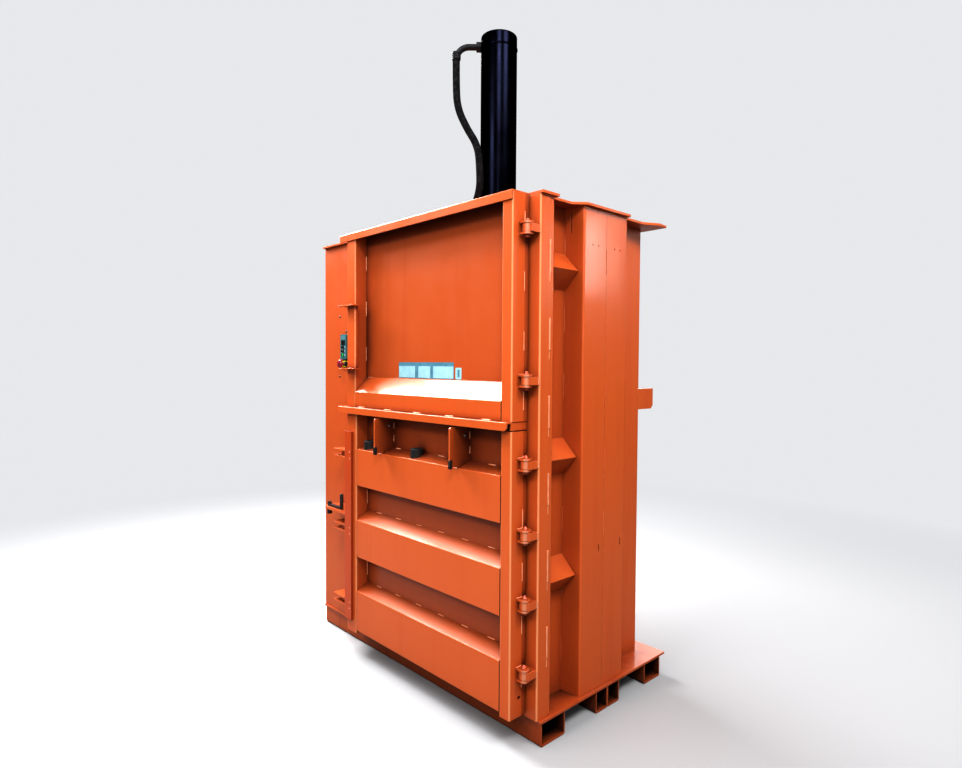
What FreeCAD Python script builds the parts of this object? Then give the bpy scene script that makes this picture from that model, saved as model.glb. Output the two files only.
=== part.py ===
import FreeCAD, Part
import math
import os
import re

import Sketcher

# Vertical recycling baler: a welded steel press frame on four base tubes, a round
# hydraulic cylinder on the roof, a platen in the bale chamber, an upper feed door,
# a ribbed lower bale door with its lock, and a cabinet on the left with the drive.
#
# The frame of the part: +Z up, the doors face -Y, +X is the hinge side. The origin is
# on the floor in the middle of the machine's plan. All sizes are in millimetres.

doc = FreeCAD.newDocument("baler")

# ---------------------------------------------------------------------------
# Driving dimensions. Plan distances are measured from the right ends of the base
# tubes (x) and from the front face of the front base tube (y), heights from the floor.

SIZES = {
    # whole machine
    "cylinder_rise": 907,
    "front_reach": 155,
    "roof_reach": 8,
    "joint_gap": 0.3,
    "pin_clearance": 0.06,
    # base tubes and floor plate
    "base_length": 1585,
    "tube_height": 93,
    "tube_wall": 6,
    "tube_corner": 9,
    "front_tube_depth": 140,
    "front_fork_gap": 200,
    "middle_tube_depth": 80,
    "middle_tube_depth_two": 83,
    "rear_fork_gap": 195,
    "rear_tube_depth": 128,
    "floor_sheet": 10,
    "floor_front_lip": 10,
    "floor_side_lip": 6,
    "floor_depth": 867,
    # bale chamber
    "wall_inset": 100,
    "wall_sheet": 6,
    "chamber_width": 1028,
    "chamber_depth": 770,
    "frame_reach": 20,
    "roof_height": 2070,
    "roof_sheet": 10,
    "roof_rear_reach": 831,
    "roof_column_reach": 5,
    "roof_notch_front": 73,
    "roof_notch_inset": 33,
    "roof_notch_rear": 190,
    "roof_tail_start": 691,
    "roof_tail_flare": 766,
    "roof_beam_width": 70,
    "roof_beam_height": 70,
    "roof_beam_spread": 110,
    # front columns
    "column_inset": 5,
    "column_depth": 54,
    "column_bend": 8,
    "angle_depth": 22,
    "angle_inset": 8,
    "left_column_width": 51,
    "left_column_depth": 70,
    # channels and ribs on the right wall
    "channel_inset": 8,
    "channel_front": 234,
    "channel_taper": 6,
    "channel_web": 147,
    "channel_seam": 1,
    "channel_sheet": 6,
    "channel_bend": 8,
    "channel_hole_radius": 3,
    "channel_hole_height": 1914,
    "channel_hole_pitch": 38,
    "channel_hole_offset": 56,
    "channel_slot_height": 685,
    "channel_slot_length": 30,
    "channel_slot_width": 6,
    "channel_slot_offset": 117,
    "flange_slot_inset": 70,
    "flange_slot_low": 1961,
    "flange_slot_high": 2044,
    "rib_reach": 31,
    "rib_half_height": 73,
    "rib_sheet": 6,
    "rib_height_low": 595,
    "rib_height_middle": 1068,
    "rib_height_high": 1806,
    # rear wall stiffeners
    "rear_beam_low": 1231,
    "rear_beam_height": 95,
    "rear_beam_depth": 124,
    "rear_beam_chamfer": 15,
    "rear_beam_wall": 6,
    "rear_channel_width": 100,
    "rear_channel_depth": 60,
    "rear_channel_inset": 250,
    # cabinet
    "cabinet_sheet": 3,
    "cabinet_reach": 4,
    "cover_margin": 110,
    "cover_low": 300,
    "cover_high": 1700,
    "cover_overlap": 20,
    "louvre_count": 7,
    "louvre_length": 260,
    "louvre_width": 8,
    "louvre_pitch": 30,
    "louvre_low": 1380,
    # controls
    "panel_left": 1409,
    "panel_width": 54,
    "panel_low": 1458,
    "panel_height": 130,
    "panel_thickness": 12,
    "panel_corner": 6,
    "button_radius": 8,
    "button_length": 11,
    "button_proud": 4,
    "up_button_height": 1521,
    "down_button_height": 1501,
    "start_button_height": 1480,
    "switch_height": 1434,
    "emergency_inset": 1382,
    "selector_inset": 1341,
    "collar_radius": 19,
    "collar_height": 8,
    "stem_radius": 8,
    "emergency_radius": 22,
    "emergency_head": 13,
    "emergency_gap": 20,
    "selector_radius": 11,
    "selector_body": 10,
    "selector_wing": 9,
    "selector_wing_width": 6,
    # drive in the cabinet
    "tank_length": 340,
    "tank_depth": 420,
    "tank_height": 400,
    "tank_wall": 4,
    "tank_inset": 40,
    "tank_setback": 200,
    "filler_radius": 25,
    "filler_rim": 8,
    "filler_cap_height": 18,
    "motor_radius": 85,
    "motor_height": 240,
    "motor_foot_radius": 110,
    "motor_foot": 14,
    "valve_length": 130,
    "valve_width": 100,
    "valve_height": 90,
    # cylinder and ram
    "ram_offset_x": 4,
    "ram_offset_y": 4,
    "cylinder_radius": 85,
    "bore_radius": 75,
    "cylinder_drop": 65,
    "cap_height": 60,
    "cap_round": 7,
    "gland_height": 70,
    "flange_radius": 125,
    "flange_sheet": 20,
    "rod_radius": 40,
    "piston_height": 55,
    "piston_groove": 6,
    "piston_headroom": 4,
    "rod_foot_radius": 75,
    "rod_foot": 20,
    "platen_low": 1833,
    "platen_sheet": 15,
    "platen_gap": 10,
    "platen_beam_height": 90,
    "platen_beam_width": 90,
    "platen_beam_wall": 6,
    # hydraulic hose and its fittings
    "hose_radius": 17,
    "fitting_drop": 44,
    "fitting_bend": 60,
    "fitting_radius": 14,
    "nut_radius": 24,
    "nut_length": 22,
    "ferrule_radius": 20,
    "ferrule_length": 34,
    "bulkhead_size": 52,
    # hinges
    "hinge_one": 1931,
    "hinge_two": 1375,
    "hinge_three": 1067,
    "hinge_four": 804,
    "hinge_five": 546,
    "hinge_six": 286,
    "hinge_inset": 36,
    "hinge_reach": 57,
    "pin_radius": 10,
    "pin_below": 34,
    "pin_above": 26,
    "pin_tip": 10,
    "barrel_radius": 20,
    "barrel_height": 30,
    "lug_reach": 28,
    "lug_half_depth": 8,
    "ear_radius": 22,
    "ear_sheet": 8,
    "ear_gap": 1,
    # both doors
    "door_inset": 58,
    "door_length": 1127,
    "door_reach": 112,
    "panel_setback": 48,
    "door_back_reach": 26,
    "door_sheet": 6,
    "post_sheet": 5,
    "post_bend": 8,
    "right_post_width": 55,
    # upper door
    "upper_door_low": 1225,
    "upper_left_post_width": 74,
    "sill_front_height": 73,
    "sill_slope_height": 71,
    "top_plate_reach": 55,
    "top_lip_drop": 29,
    "bottom_lip_reach": 135,
    "bottom_lip_length": 1171,
    "bottom_lip_inset": 61,
    "bottom_lip_low": 1193,
    "bottom_lip_chamfer": 11,
    "handle_low": 1414,
    "handle_high": 1711,
    "handle_sheet": 5,
    "handle_inset": 32,
    "handle_standoff": 12,
    "handle_width": 68,
    "wing_left": 1196,
    "wing_length": 134,
    # lower door
    "lower_door_low": 118,
    "lower_door_high": 1189,
    "lower_left_post_width": 84,
    "top_rib_low": 844,
    "top_rib_edge": 1022,
    "top_rib_high": 1044,
    "middle_rib_low": 495,
    "middle_rib_edge": 675,
    "middle_rib_high": 718,
    "bottom_rib_low": 132,
    "bottom_rib_edge": 327,
    "bottom_rib_high": 360,
    "drain_slot_height": 185,
    "drain_slot_rise": 12,
    "drain_slot_length": 16,
    "gusset_reach": 155,
    "gusset_sheet": 8,
    "gusset_low": 1028,
    "gusset_high": 1186,
    "gusset_round": 9,
    "gusset_left": 881,
    "gusset_right": 355,
    "gusset_hole_radius": 5,
    "gusset_hole_height": 1150,
    "gusset_hole_reach": 76,
    "guide_radius": 28,
    "guide_hole": 12,
    "guide_reach": 77,
    "guide_high": 1062,
    "guide_left": 1034,
    "guide_right": 665,
    # door lock
    "lock_bar_width": 58,
    "lock_bar_depth": 13,
    "lock_bar_low": 178,
    "lock_bar_high": 1104,
    "tongue_length": 70,
    "tongue_front": 100,
    "tongue_back": 56,
    "tongue_half": 9,
    "lock_height_low": 247,
    "lock_height_middle": 616,
    "lock_height_high": 987,
    "lock_ear_left": 1312,
    "lock_ear_gap": 5,
    "lock_ear_reach": 113,
    "lock_ear_inner": 12,
    "lock_ear_sheet": 8,
    "bracket_left": 1414,
    "bracket_low": 682,
    "bracket_sheet": 14,
    "bracket_corner": 20,
    "pivot_left": 1387,
    "pivot_reach": 93,
    "pivot_radius": 6,
    "pivot_nut_radius": 10,
    "pivot_nut": 11,
    "knob_radius": 13,
    "knob_height": 26,
    "lever_gap": 2,
    "lever_sheet": 10,
    "lever_width": 18,
    "lever_length": 119,
    "grip_radius": 8,
    "grip_height": 66,
    # bale ejector
    "ejector_side_gap": 34,
    "ejector_axis_setback": 45,
    "ejector_axis_height": 15,
    "ejector_length": 655,
    "ejector_sheet": 8,
    "ejector_rod_radius": 8,
    "knuckle_radius": 14,
    "knuckle_length": 100,
    "bracket_width": 20,
    "ejector_bracket_half": 15,
    "ejector_bracket_height": 30,
}

sheet = doc.addObject("Spreadsheet::Sheet", "dims")
for row, (alias, value) in enumerate(SIZES.items(), start=1):
    sheet.set("A%d" % row, alias)
    sheet.set("B%d" % row, str(value))
    sheet.setAlias("B%d" % row, alias)
doc.recompute()

# Places worked out from the driving dimensions, used by more than one piece.
PLACES = {
    "overall_width": "base_length + roof_reach + cabinet_sheet",
    "overall_depth": "front_reach + chamber_depth + wall_sheet + rear_beam_depth",
    "tubes_right": "overall_width / 2 - roof_reach",
    "tubes_left": "tubes_right - base_length",
    "tube_front": "front_reach - overall_depth / 2",
    "floor_top": "tube_height + floor_sheet",
    "roof_low": "roof_height - roof_sheet",
    "wall_outer": "tubes_right - wall_inset",
    "chamber_right": "wall_outer - wall_sheet",
    "chamber_left": "chamber_right - chamber_width",
    "left_wall_outer": "chamber_left - wall_sheet",
    "chamber_rear": "tube_front + chamber_depth",
    "rear_outer": "chamber_rear + wall_sheet",
    "frame_front": "tube_front - frame_reach",
    "column_rear": "frame_front + column_depth",
    "column_outer": "tubes_right - column_inset",
    "cabinet_front": "tube_front - cabinet_reach",
    "channel_outer": "tubes_right - channel_inset",
    "channel_start": "tube_front + channel_front + channel_taper",
    "channel_split": "channel_start + channel_web",
    "channel_end": "channel_split + channel_seam + channel_web",
    "door_right": "tubes_right - door_inset",
    "door_left": "door_right - door_length",
    "door_front": "tube_front - door_reach",
    "panel_front": "tube_front - panel_setback",
    "door_back": "tube_front - door_back_reach",
    "hinge_x": "tubes_right - hinge_inset",
    "hinge_y": "tube_front - hinge_reach",
    "ram_x": "(chamber_left + chamber_right) / 2 - ram_offset_x",
    "ram_y": "(frame_front + chamber_rear) / 2 - ram_offset_y",
    "cylinder_low": "roof_low - cylinder_drop",
    "overall_height": "roof_height + cylinder_rise",
    "fitting_height": "overall_height - fitting_drop",
    "hose_start": "fitting_height - fitting_bend",
    "cap_low": "overall_height - cap_height",
    "piston_high": "cap_low - piston_headroom",
    "piston_low": "piston_high - piston_height",
    "platen_top": "platen_low + platen_sheet",
    "platen_beam_top": "platen_top + platen_beam_height",
    "rear_beam_high": "rear_beam_low + rear_beam_height",
    "lower_left_post": "door_left + lower_left_post_width",
    "upper_left_post": "door_left + upper_left_post_width",
    "right_post": "door_right - right_post_width",
    "bracket_high": "bracket_low + bracket_sheet",
    "lever_low": "bracket_high + lever_gap",
    "lever_high": "lever_low + lever_sheet",
    "lever_x": "tubes_right - pivot_left",
    "lever_y": "tube_front - pivot_reach",
    "tank_left": "tubes_left + tank_inset",
    "tank_front": "tube_front + tank_setback",
    "tank_top": "floor_top + tank_height",
    "ejector_y": "tube_front + ejector_axis_setback",
    "ejector_z": "floor_top + ejector_axis_height",
}

LOCK_HEIGHTS = ("lock_height_low", "lock_height_middle", "lock_height_high")
UPPER_HINGES = ("hinge_one", "hinge_two")
LOWER_HINGES = ("hinge_three", "hinge_four", "hinge_five", "hinge_six")

PIECES = []


# ---------------------------------------------------------------------------
# Helpers: they turn the names above into expressions and build bound objects.

def bound(text):
    """The expression with every place and size name replaced by its sheet reference."""
    def swap(match):
        word = match[0]
        if word in PLACES:
            return "(" + bound(PLACES[word]) + ")"
        if word in SIZES:
            return "dims." + word
        return word
    return re.sub(r"[a-z][a-z_0-9]*", swap, str(text))


def number(text):
    """The present value of an expression."""
    return float(sheet.evalExpression(bound(text)))


def bind(thing, prop, text):
    """Ties one property of an object to the sheet."""
    thing.setExpression(prop, bound(text))


def place(thing, x="0", y="0", z="0"):
    """Ties the position of an object to the sheet."""
    for axis, text in zip("xyz", (x, y, z)):
        bind(thing, "Placement.Base." + axis, text)


def piece(thing, label):
    """Marks a finished sub-part and gives it its name."""
    thing.Label = label
    PIECES.append(thing)
    return thing


def block(label, x, y, z):
    """A box between two places along each axis."""
    box = doc.addObject("Part::Box", label)
    bind(box, "Length", "(%s) - (%s)" % (x[1], x[0]))
    bind(box, "Width", "(%s) - (%s)" % (y[1], y[0]))
    bind(box, "Height", "(%s) - (%s)" % (z[1], z[0]))
    place(box, x[0], y[0], z[0])
    return box


TURNS = {
    "Z": FreeCAD.Rotation(),
    "X": FreeCAD.Rotation(FreeCAD.Vector(0, 1, 0), 90),
    "Y": FreeCAD.Rotation(FreeCAD.Vector(1, 0, 0), -90),
}


def round_bar(label, along, centre, radius, start, end):
    """A cylinder along one axis; centre is its place on the other two axes."""
    bar = doc.addObject("Part::Cylinder", label)
    bar.Placement = FreeCAD.Placement(FreeCAD.Vector(), TURNS[along])
    bind(bar, "Radius", radius)
    bind(bar, "Height", "(%s) - (%s)" % (end, start))
    position = list(centre)
    position.insert("XYZ".index(along), start)
    place(bar, *position)
    return bar


def cone(label, centre, radius_low, radius_high, start, end):
    """A vertical cone."""
    shape = doc.addObject("Part::Cone", label)
    bind(shape, "Radius1", radius_low)
    bind(shape, "Radius2", radius_high)
    bind(shape, "Height", "(%s) - (%s)" % (end, start))
    place(shape, centre[0], centre[1], start)
    return shape


def fuse(label, parts):
    """Several bodies welded into one solid."""
    joined = doc.addObject("Part::MultiFuse", label)
    joined.Shapes = parts
    joined.Refine = True
    return joined


def cut(label, base, tools):
    """One body less the tools."""
    tool = tools[0]
    if len(tools) > 1:
        tool = doc.addObject("Part::Compound", label + "_tools")
        tool.Links = tools
    result = doc.addObject("Part::Cut", label)
    result.Base = base
    result.Tool = tool
    return result


def group(label, parts):
    """Separate solids of like pieces that share one node."""
    together = doc.addObject("Part::Compound", label)
    together.Links = parts
    return together


PLANES = {"X": "YZ_Plane", "Y": "XZ_Plane", "Z": "XY_Plane"}


def add_outline(sketch, outline):
    """Adds a closed outline of straight sides whose corners are tied to the sheet."""
    corners = [FreeCAD.Vector(number(a), number(b), 0) for a, b in outline]
    first = sketch.GeometryCount
    count = len(corners)
    for index in range(count):
        side = Part.LineSegment(corners[index], corners[(index + 1) % count])
        sketch.addGeometry(side, False)
    for index in range(count):
        following = first + (index + 1) % count
        sketch.addConstraint(Sketcher.Constraint("Coincident", first + index, 2, following, 1))
    for index, (a, b) in enumerate(outline):
        for kind, text, value in (("DistanceX", a, corners[index].x),
                                  ("DistanceY", b, corners[index].y)):
            tie = Sketcher.Constraint(kind, -1, 1, first + index, 1, value)
            entry = sketch.addConstraint(tie)
            sketch.setExpression("Constraints[%d]" % entry, bound(text))


def corner_edges(shape, along, corner):
    """The names of the edges that run along one axis through an outline corner."""
    wanted = [number(corner[0]), number(corner[1])]
    axis = "XYZ".index(along)
    others = [index for index in range(3) if index != axis]
    found = []
    for entry, edge in enumerate(shape.Edges, start=1):
        ends = [vertex.Point for vertex in edge.Vertexes]
        near = [abs(end[others[k]] - wanted[k]) < 1e-4 for end in ends for k in (0, 1)]
        if len(ends) == 2 and all(near):
            found.append("Edge%d" % entry)
    return found


def prism(label, along, outline, start, end, holes=(), bends=()):
    """A padded outline along one axis; bends are (corner numbers, radius) to round."""
    body = doc.addObject("PartDesign::Body", label)
    plane = [item for item in body.Origin.OriginFeatures if item.Role == PLANES[along]][0]
    sketch = body.newObject("Sketcher::SketchObject", label + "_outline")
    sketch.AttachmentSupport = [(plane, "")]
    sketch.MapMode = "FlatFace"
    for loop in [outline] + list(holes):
        add_outline(sketch, loop)
    pad = body.newObject("PartDesign::Pad", label + "_pad")
    pad.Profile = sketch
    pad.Reversed = along == "Y"
    bind(pad, "Length", "(%s) - (%s)" % (end, start))
    doc.recompute()
    last = pad
    for entry, (corners, radius) in enumerate(bends):
        edges = []
        for corner in corners:
            edges += corner_edges(last.Shape, along, corner)
        rounding = body.newObject("PartDesign::Fillet", "%s_bend_%d" % (label, entry))
        rounding.Base = (last, edges)
        bind(rounding, "Radius", radius)
        doc.recompute()
        last = rounding
    bind(body, "Placement.Base." + along.lower(), start)
    return body


def rectangle(a, b):
    """The four corners of a rectangle between two places on each axis."""
    return [(a[0], b[0]), (a[1], b[0]), (a[1], b[1]), (a[0], b[1])]


def inside(a, b, wall):
    """The four corners of a rectangle set in by the wall."""
    return rectangle(("(%s) + %s" % (a[0], wall), "(%s) - %s" % (a[1], wall)),
                     ("(%s) + %s" % (b[0], wall), "(%s) - %s" % (b[1], wall)))


# ---------------------------------------------------------------------------
# Base: rectangular tubes along X under a floor plate, with two fork pockets between.

def base():
    front = "tube_front"
    spans = {
        "base_tube_front": (front, front + " + front_tube_depth"),
        "middle_one": (front + " + front_tube_depth + front_fork_gap",
                       front + " + front_tube_depth + front_fork_gap + middle_tube_depth"),
    }
    spans["middle_two"] = (spans["middle_one"][1], spans["middle_one"][1] + " + middle_tube_depth_two")
    rear = spans["middle_two"][1] + " + rear_fork_gap"
    spans["base_tube_rear"] = (rear, rear + " + rear_tube_depth")
    tubes = {}
    for label, y in spans.items():
        z = ("0", "tube_height")
        outer = rectangle(y, z)
        inner = inside(y, z, "tube_wall")
        tubes[label] = prism(label, "X", outer, "tubes_left", "tubes_right", [inner],
                             [(outer, "tube_corner"), (inner, "tube_corner - tube_wall")])
    piece(tubes["base_tube_front"], "base_tube_front")
    piece(group("middle_pair", [tubes["middle_one"], tubes["middle_two"]]), "base_tubes_middle")
    piece(tubes["base_tube_rear"], "base_tube_rear")
    piece(block("floor", ("tubes_left", "tubes_right + floor_side_lip"),
                (front + " - floor_front_lip", front + " - floor_front_lip + floor_depth"),
                ("tube_height", "floor_top")), "floor_plate")


# Chamber walls of flat plate, the roof plate and the two tubes under the roof that
# carry the cylinder.

def chamber():
    height = ("floor_top", "roof_low")
    angle_face = "column_rear + wall_sheet"
    piece(block("wall_right", ("chamber_right", "wall_outer"), (angle_face, "chamber_rear"), height),
          "right_wall")
    piece(block("wall_left", ("left_wall_outer", "chamber_left"),
                ("frame_front + left_column_depth", "chamber_rear"), height), "left_wall")
    piece(block("wall_rear", ("left_wall_outer", "wall_outer"), ("chamber_rear", "rear_outer"), height),
          "rear_wall")

    right = "tubes_right"
    front = "tube_front"
    outline = [
        ("tubes_left", "frame_front"),
        (right + " + roof_column_reach", "frame_front"),
        (right + " + roof_column_reach", front + " + roof_notch_front"),
        (right + " - roof_notch_inset", front + " + roof_notch_front"),
        (right + " - roof_notch_inset", front + " + roof_notch_rear"),
        (right + " + roof_reach", "channel_start"),
        (right + " + roof_reach", "channel_end"),
        (right + " - roof_notch_inset", "channel_end"),
        (right + " - roof_notch_inset", front + " + roof_tail_start"),
        (right + " + roof_column_reach", front + " + roof_tail_flare"),
        (right, front + " + roof_rear_reach"),
        ("tubes_left", front + " + roof_rear_reach"),
    ]
    plate = prism("roof", "Z", outline, "roof_low", "roof_height")
    hole = round_bar("roof_hole", "Z", ("ram_x", "ram_y"), "cylinder_radius + joint_gap",
                     "roof_low - roof_sheet", "roof_height + roof_sheet")
    piece(cut("roof_cut", plate, [hole]), "roof_plate")

    beams = []
    spans = (("ram_y - roof_beam_spread - roof_beam_width", "ram_y - roof_beam_spread"),
             ("ram_y + roof_beam_spread", "ram_y + roof_beam_spread + roof_beam_width"))
    for side, y in enumerate(spans):
        z = ("roof_low - roof_beam_height", "roof_low")
        beams.append(prism("roof_beam_%d" % side, "X", rectangle(y, z), "chamber_left",
                           "chamber_right", [inside(y, z, "tube_wall")]))
    piece(group("roof_beam_pair", beams), "roof_beams")


# Front columns: folded boxes; the right one is backed by a steel angle.

def columns():
    x = ("chamber_right", "column_outer")
    y = ("frame_front", "column_rear")
    ridge = [("column_outer", "frame_front")]
    piece(prism("column_r", "Z", rectangle(x, y), "floor_top", "roof_low",
                [inside(x, y, "wall_sheet")], [(ridge, "column_bend")]), "right_column")

    outer = "tubes_right - angle_inset"
    angle = [
        ("chamber_right", "column_rear"),
        (outer, "column_rear"),
        (outer, "column_rear + angle_depth"),
        (outer + " - wall_sheet", "column_rear + angle_depth"),
        (outer + " - wall_sheet", "column_rear + wall_sheet"),
        ("chamber_right", "column_rear + wall_sheet"),
    ]
    piece(prism("column_angle", "Z", angle, "floor_top", "roof_low"), "right_column_angle")

    x = ("chamber_left - left_column_width", "chamber_left")
    y = ("frame_front", "frame_front + left_column_depth")
    piece(prism("column_l", "Z", rectangle(x, y), "floor_top", "roof_low",
                [inside(x, y, "wall_sheet")]), "left_column")


# Right wall stiffeners: two folded channels side by side and three wedge ribs.

def side_stiffeners():
    wall = "wall_outer"
    outer = "channel_outer"
    inner = "channel_outer - channel_sheet"
    front = "channel_start"
    near = "channel_split"
    far = "channel_split + channel_seam"
    rear = "channel_end"
    profiles = [
        [(wall, front + " - channel_taper"), (outer, front), (outer, near), (wall, near),
         (wall, near + " - channel_sheet"), (inner, near + " - channel_sheet"),
         (inner, front + " + channel_sheet"), (wall, front + " - channel_taper + channel_sheet")],
        [(wall, far), (outer, far), (outer, rear), (wall, rear + " + channel_taper"),
         (wall, rear + " + channel_taper - channel_sheet"), (inner, rear + " - channel_sheet"),
         (inner, far + " + channel_sheet"), (wall, far + " + channel_sheet")],
    ]
    ridges = [[(outer, front)], [(outer, rear)]]
    starts = [front, far]
    channels = []
    for entry in (0, 1):
        body = prism("channel_%d" % entry, "Z", profiles[entry], "floor_top", "roof_low",
                     [], [(ridges[entry], "channel_bend")])
        tools = []
        reach = (inner + " - channel_sheet", outer + " + channel_sheet")
        for step in (0, 1):
            y = "%s + channel_hole_offset + %d * channel_hole_pitch" % (starts[entry], step)
            tools.append(round_bar("channel_%d_hole_%d" % (entry, step), "X",
                                   (y, "channel_hole_height"), "channel_hole_radius", *reach))
        y = starts[entry] + " + channel_slot_offset"
        tools.append(block("channel_%d_slot" % entry, reach,
                           (y + " - channel_slot_width / 2", y + " + channel_slot_width / 2"),
                           ("channel_slot_height - channel_slot_length / 2",
                            "channel_slot_height + channel_slot_length / 2")))
        if entry == 0:
            x = "tubes_right - flange_slot_inset"
            tools.append(block("flange_slot",
                               (x + " - channel_slot_width / 2", x + " + channel_slot_width / 2"),
                               (front + " - 2 * channel_taper", front + " + 2 * channel_sheet"),
                               ("flange_slot_low", "flange_slot_high")))
        channels.append(cut("channel_cut_%d" % entry, body, tools))
    piece(group("channel_pair", channels), "side_channels")

    ribs = []
    for entry, ridge in enumerate(("rib_height_low", "rib_height_middle", "rib_height_high")):
        tip = "tubes_right - rib_reach"
        section = [
            (wall, ridge + " + rib_half_height"), (wall, ridge + " + rib_half_height - rib_sheet"),
            (tip + " - rib_sheet", ridge), (wall, ridge + " - rib_half_height + rib_sheet"),
            (wall, ridge + " - rib_half_height"), (tip, ridge),
        ]
        ribs.append(prism("rib_%d" % entry, "Y", section, "column_rear + wall_sheet",
                          "channel_start - channel_taper"))
    piece(group("rib_set", ribs), "side_ribs")


# Rear wall stiffeners: one deep beam across it and four channels up and down.

def rear_stiffeners():
    rear = "rear_outer"
    deep = "rear_outer + rear_beam_depth"
    low = "rear_beam_low"
    high = "rear_beam_high"
    section = [(rear, low), (deep + " - rear_beam_chamfer", low), (deep, low + " + rear_beam_chamfer"),
               (deep, high), (rear, high)]
    wall = "rear_beam_wall"
    hollow = [("%s + %s" % (rear, wall), "%s + %s" % (low, wall)),
              ("%s - rear_beam_chamfer - %s / 2" % (deep, wall), "%s + %s" % (low, wall)),
              ("%s - %s" % (deep, wall), "%s + rear_beam_chamfer + %s / 2" % (low, wall)),
              ("%s - %s" % (deep, wall), "%s - %s" % (high, wall)),
              ("%s + %s" % (rear, wall), "%s - %s" % (high, wall))]
    beam = prism("beam", "X", section, "left_wall_outer", "wall_outer")
    inner = prism("beam_hollow", "X", hollow, "left_wall_outer - rear_beam_wall",
                  "wall_outer - rear_beam_wall")
    piece(cut("beam_cut", beam, [inner]), "rear_beam")

    channels = []
    lefts = ("chamber_left + rear_channel_inset",
             "chamber_right - rear_channel_inset - rear_channel_width")
    spans = (("floor_top", low), (high, "roof_low"))
    for entry, left in enumerate(lefts):
        right = left + " + rear_channel_width"
        back = "rear_outer + rear_channel_depth"
        web = back + " - channel_sheet"
        section = [(left, rear), (left, back), (right, back), (right, rear),
                   (right + " - channel_sheet", rear), (right + " - channel_sheet", web),
                   (left + " + channel_sheet", web), (left + " + channel_sheet", rear)]
        for level, (start, end) in enumerate(spans):
            channels.append(prism("rear_channel_%d_%d" % (entry, level), "Z", section, start, end))
    piece(group("rear_channel_set", channels), "rear_channels")


# Cabinet on the left: one folded sheet with a service opening, closed by a louvred cover.

def cabinet():
    left = "tubes_left"
    front = "cabinet_front"
    column = "chamber_left - left_column_width"
    skin = "cabinet_sheet"
    outline = [
        (column, front), (column, front + " + " + skin), (left + " + " + skin, front + " + " + skin),
        (left + " + " + skin, "rear_outer - " + skin), ("left_wall_outer", "rear_outer - " + skin),
        ("left_wall_outer", "rear_outer"), (left, "rear_outer"), (left, front),
    ]
    shell = prism("shell", "Z", outline, "floor_top", "roof_low")
    opening = block("service_opening", (left + " - " + skin, left + " + 2 * " + skin),
                    ("tube_front + cover_margin", "rear_outer - cover_margin"),
                    ("cover_low", "cover_high"))
    holes = []
    for entry, inset in enumerate(("emergency_inset", "selector_inset")):
        holes.append(round_bar("switch_hole_%d" % entry, "Y", ("tubes_right - " + inset, "switch_height"),
                               "stem_radius + joint_gap", front + " - " + skin, front + " + 2 * " + skin))
    piece(cut("shell_cut", shell, [opening] + holes), "cabinet_shell")

    cover = block("cover", (left + " - " + skin, left),
                  ("tube_front + cover_margin - cover_overlap",
                   "rear_outer - cover_margin + cover_overlap"),
                  ("cover_low - cover_overlap", "cover_high + cover_overlap"))
    louvres = []
    middle = "(tube_front + rear_outer) / 2"
    for step in range(SIZES["louvre_count"]):
        low = "louvre_low + %d * louvre_pitch" % step
        louvres.append(block("louvre_%d" % step, (left + " - 2 * " + skin, left + " + " + skin),
                             (middle + " - louvre_length / 2", middle + " + louvre_length / 2"),
                             (low, low + " + louvre_width")))
    piece(cut("cover_cut", cover, louvres), "cabinet_cover")


# Controls on the cabinet front: a panel with three push buttons, and below it the red
# emergency stop and the selector switch, each in its round collar.

def controls():
    left = "tubes_right - panel_left"
    right = left + " + panel_width"
    back = "cabinet_front"
    face = "cabinet_front - panel_thickness"
    corners = rectangle((left, right), ("panel_low", "panel_low + panel_height"))
    panel = prism("panel", "Y", corners, face, back, [], [(corners, "panel_corner")])
    middle = "tubes_right - panel_left + panel_width / 2"
    holes = []
    for name in ("up_button", "down_button", "start_button"):
        centre = (middle, name + "_height")
        holes.append(round_bar(name + "_hole", "Y", centre, "button_radius + joint_gap",
                               face + " - panel_thickness", back + " + panel_thickness"))
        start = face + " - button_proud"
        piece(round_bar(name + "_body", "Y", centre, "button_radius", start,
                        start + " + button_length"), name)
    piece(cut("panel_cut", panel, holes), "control_panel")

    collars = []
    for name, inset in (("emergency", "emergency_inset"), ("selector", "selector_inset")):
        centre = ("tubes_right - " + inset, "switch_height")
        start = "cabinet_front - collar_height"
        ring = round_bar(name + "_collar", "Y", centre, "collar_radius", start, "cabinet_front")
        bore = round_bar(name + "_bore", "Y", centre, "stem_radius + joint_gap",
                         start + " - collar_height", "cabinet_front + collar_height")
        collars.append(cut(name + "_ring", ring, [bore]))
    piece(group("collar_pair", collars), "switch_collars")

    centre = ("tubes_right - emergency_inset", "switch_height")
    neck = "cabinet_front - collar_height - emergency_gap"
    stem = round_bar("emergency_stem", "Y", centre, "stem_radius", neck, "cabinet_front")
    head = round_bar("emergency_head_body", "Y", centre, "emergency_radius",
                     neck + " - emergency_head", neck)
    piece(fuse("emergency", [stem, head]), "emergency_stop")

    centre = ("tubes_right - selector_inset", "switch_height")
    base_face = "cabinet_front - collar_height - joint_gap"
    stem = round_bar("selector_stem", "Y", centre, "stem_radius", base_face, "cabinet_front")
    knob = round_bar("selector_knob", "Y", centre, "selector_radius",
                     base_face + " - selector_body", base_face)
    wing = block("selector_wing_body",
                 (centre[0] + " - selector_wing_width / 2", centre[0] + " + selector_wing_width / 2"),
                 (base_face + " - selector_body - selector_wing", base_face),
                 (centre[1] + " - selector_radius", centre[1] + " + selector_radius"))
    piece(fuse("selector", [stem, knob, wing]), "selector_switch")


# Hydraulic drive in the cabinet: oil tank, and on it the pump's motor and the valve block.

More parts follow.
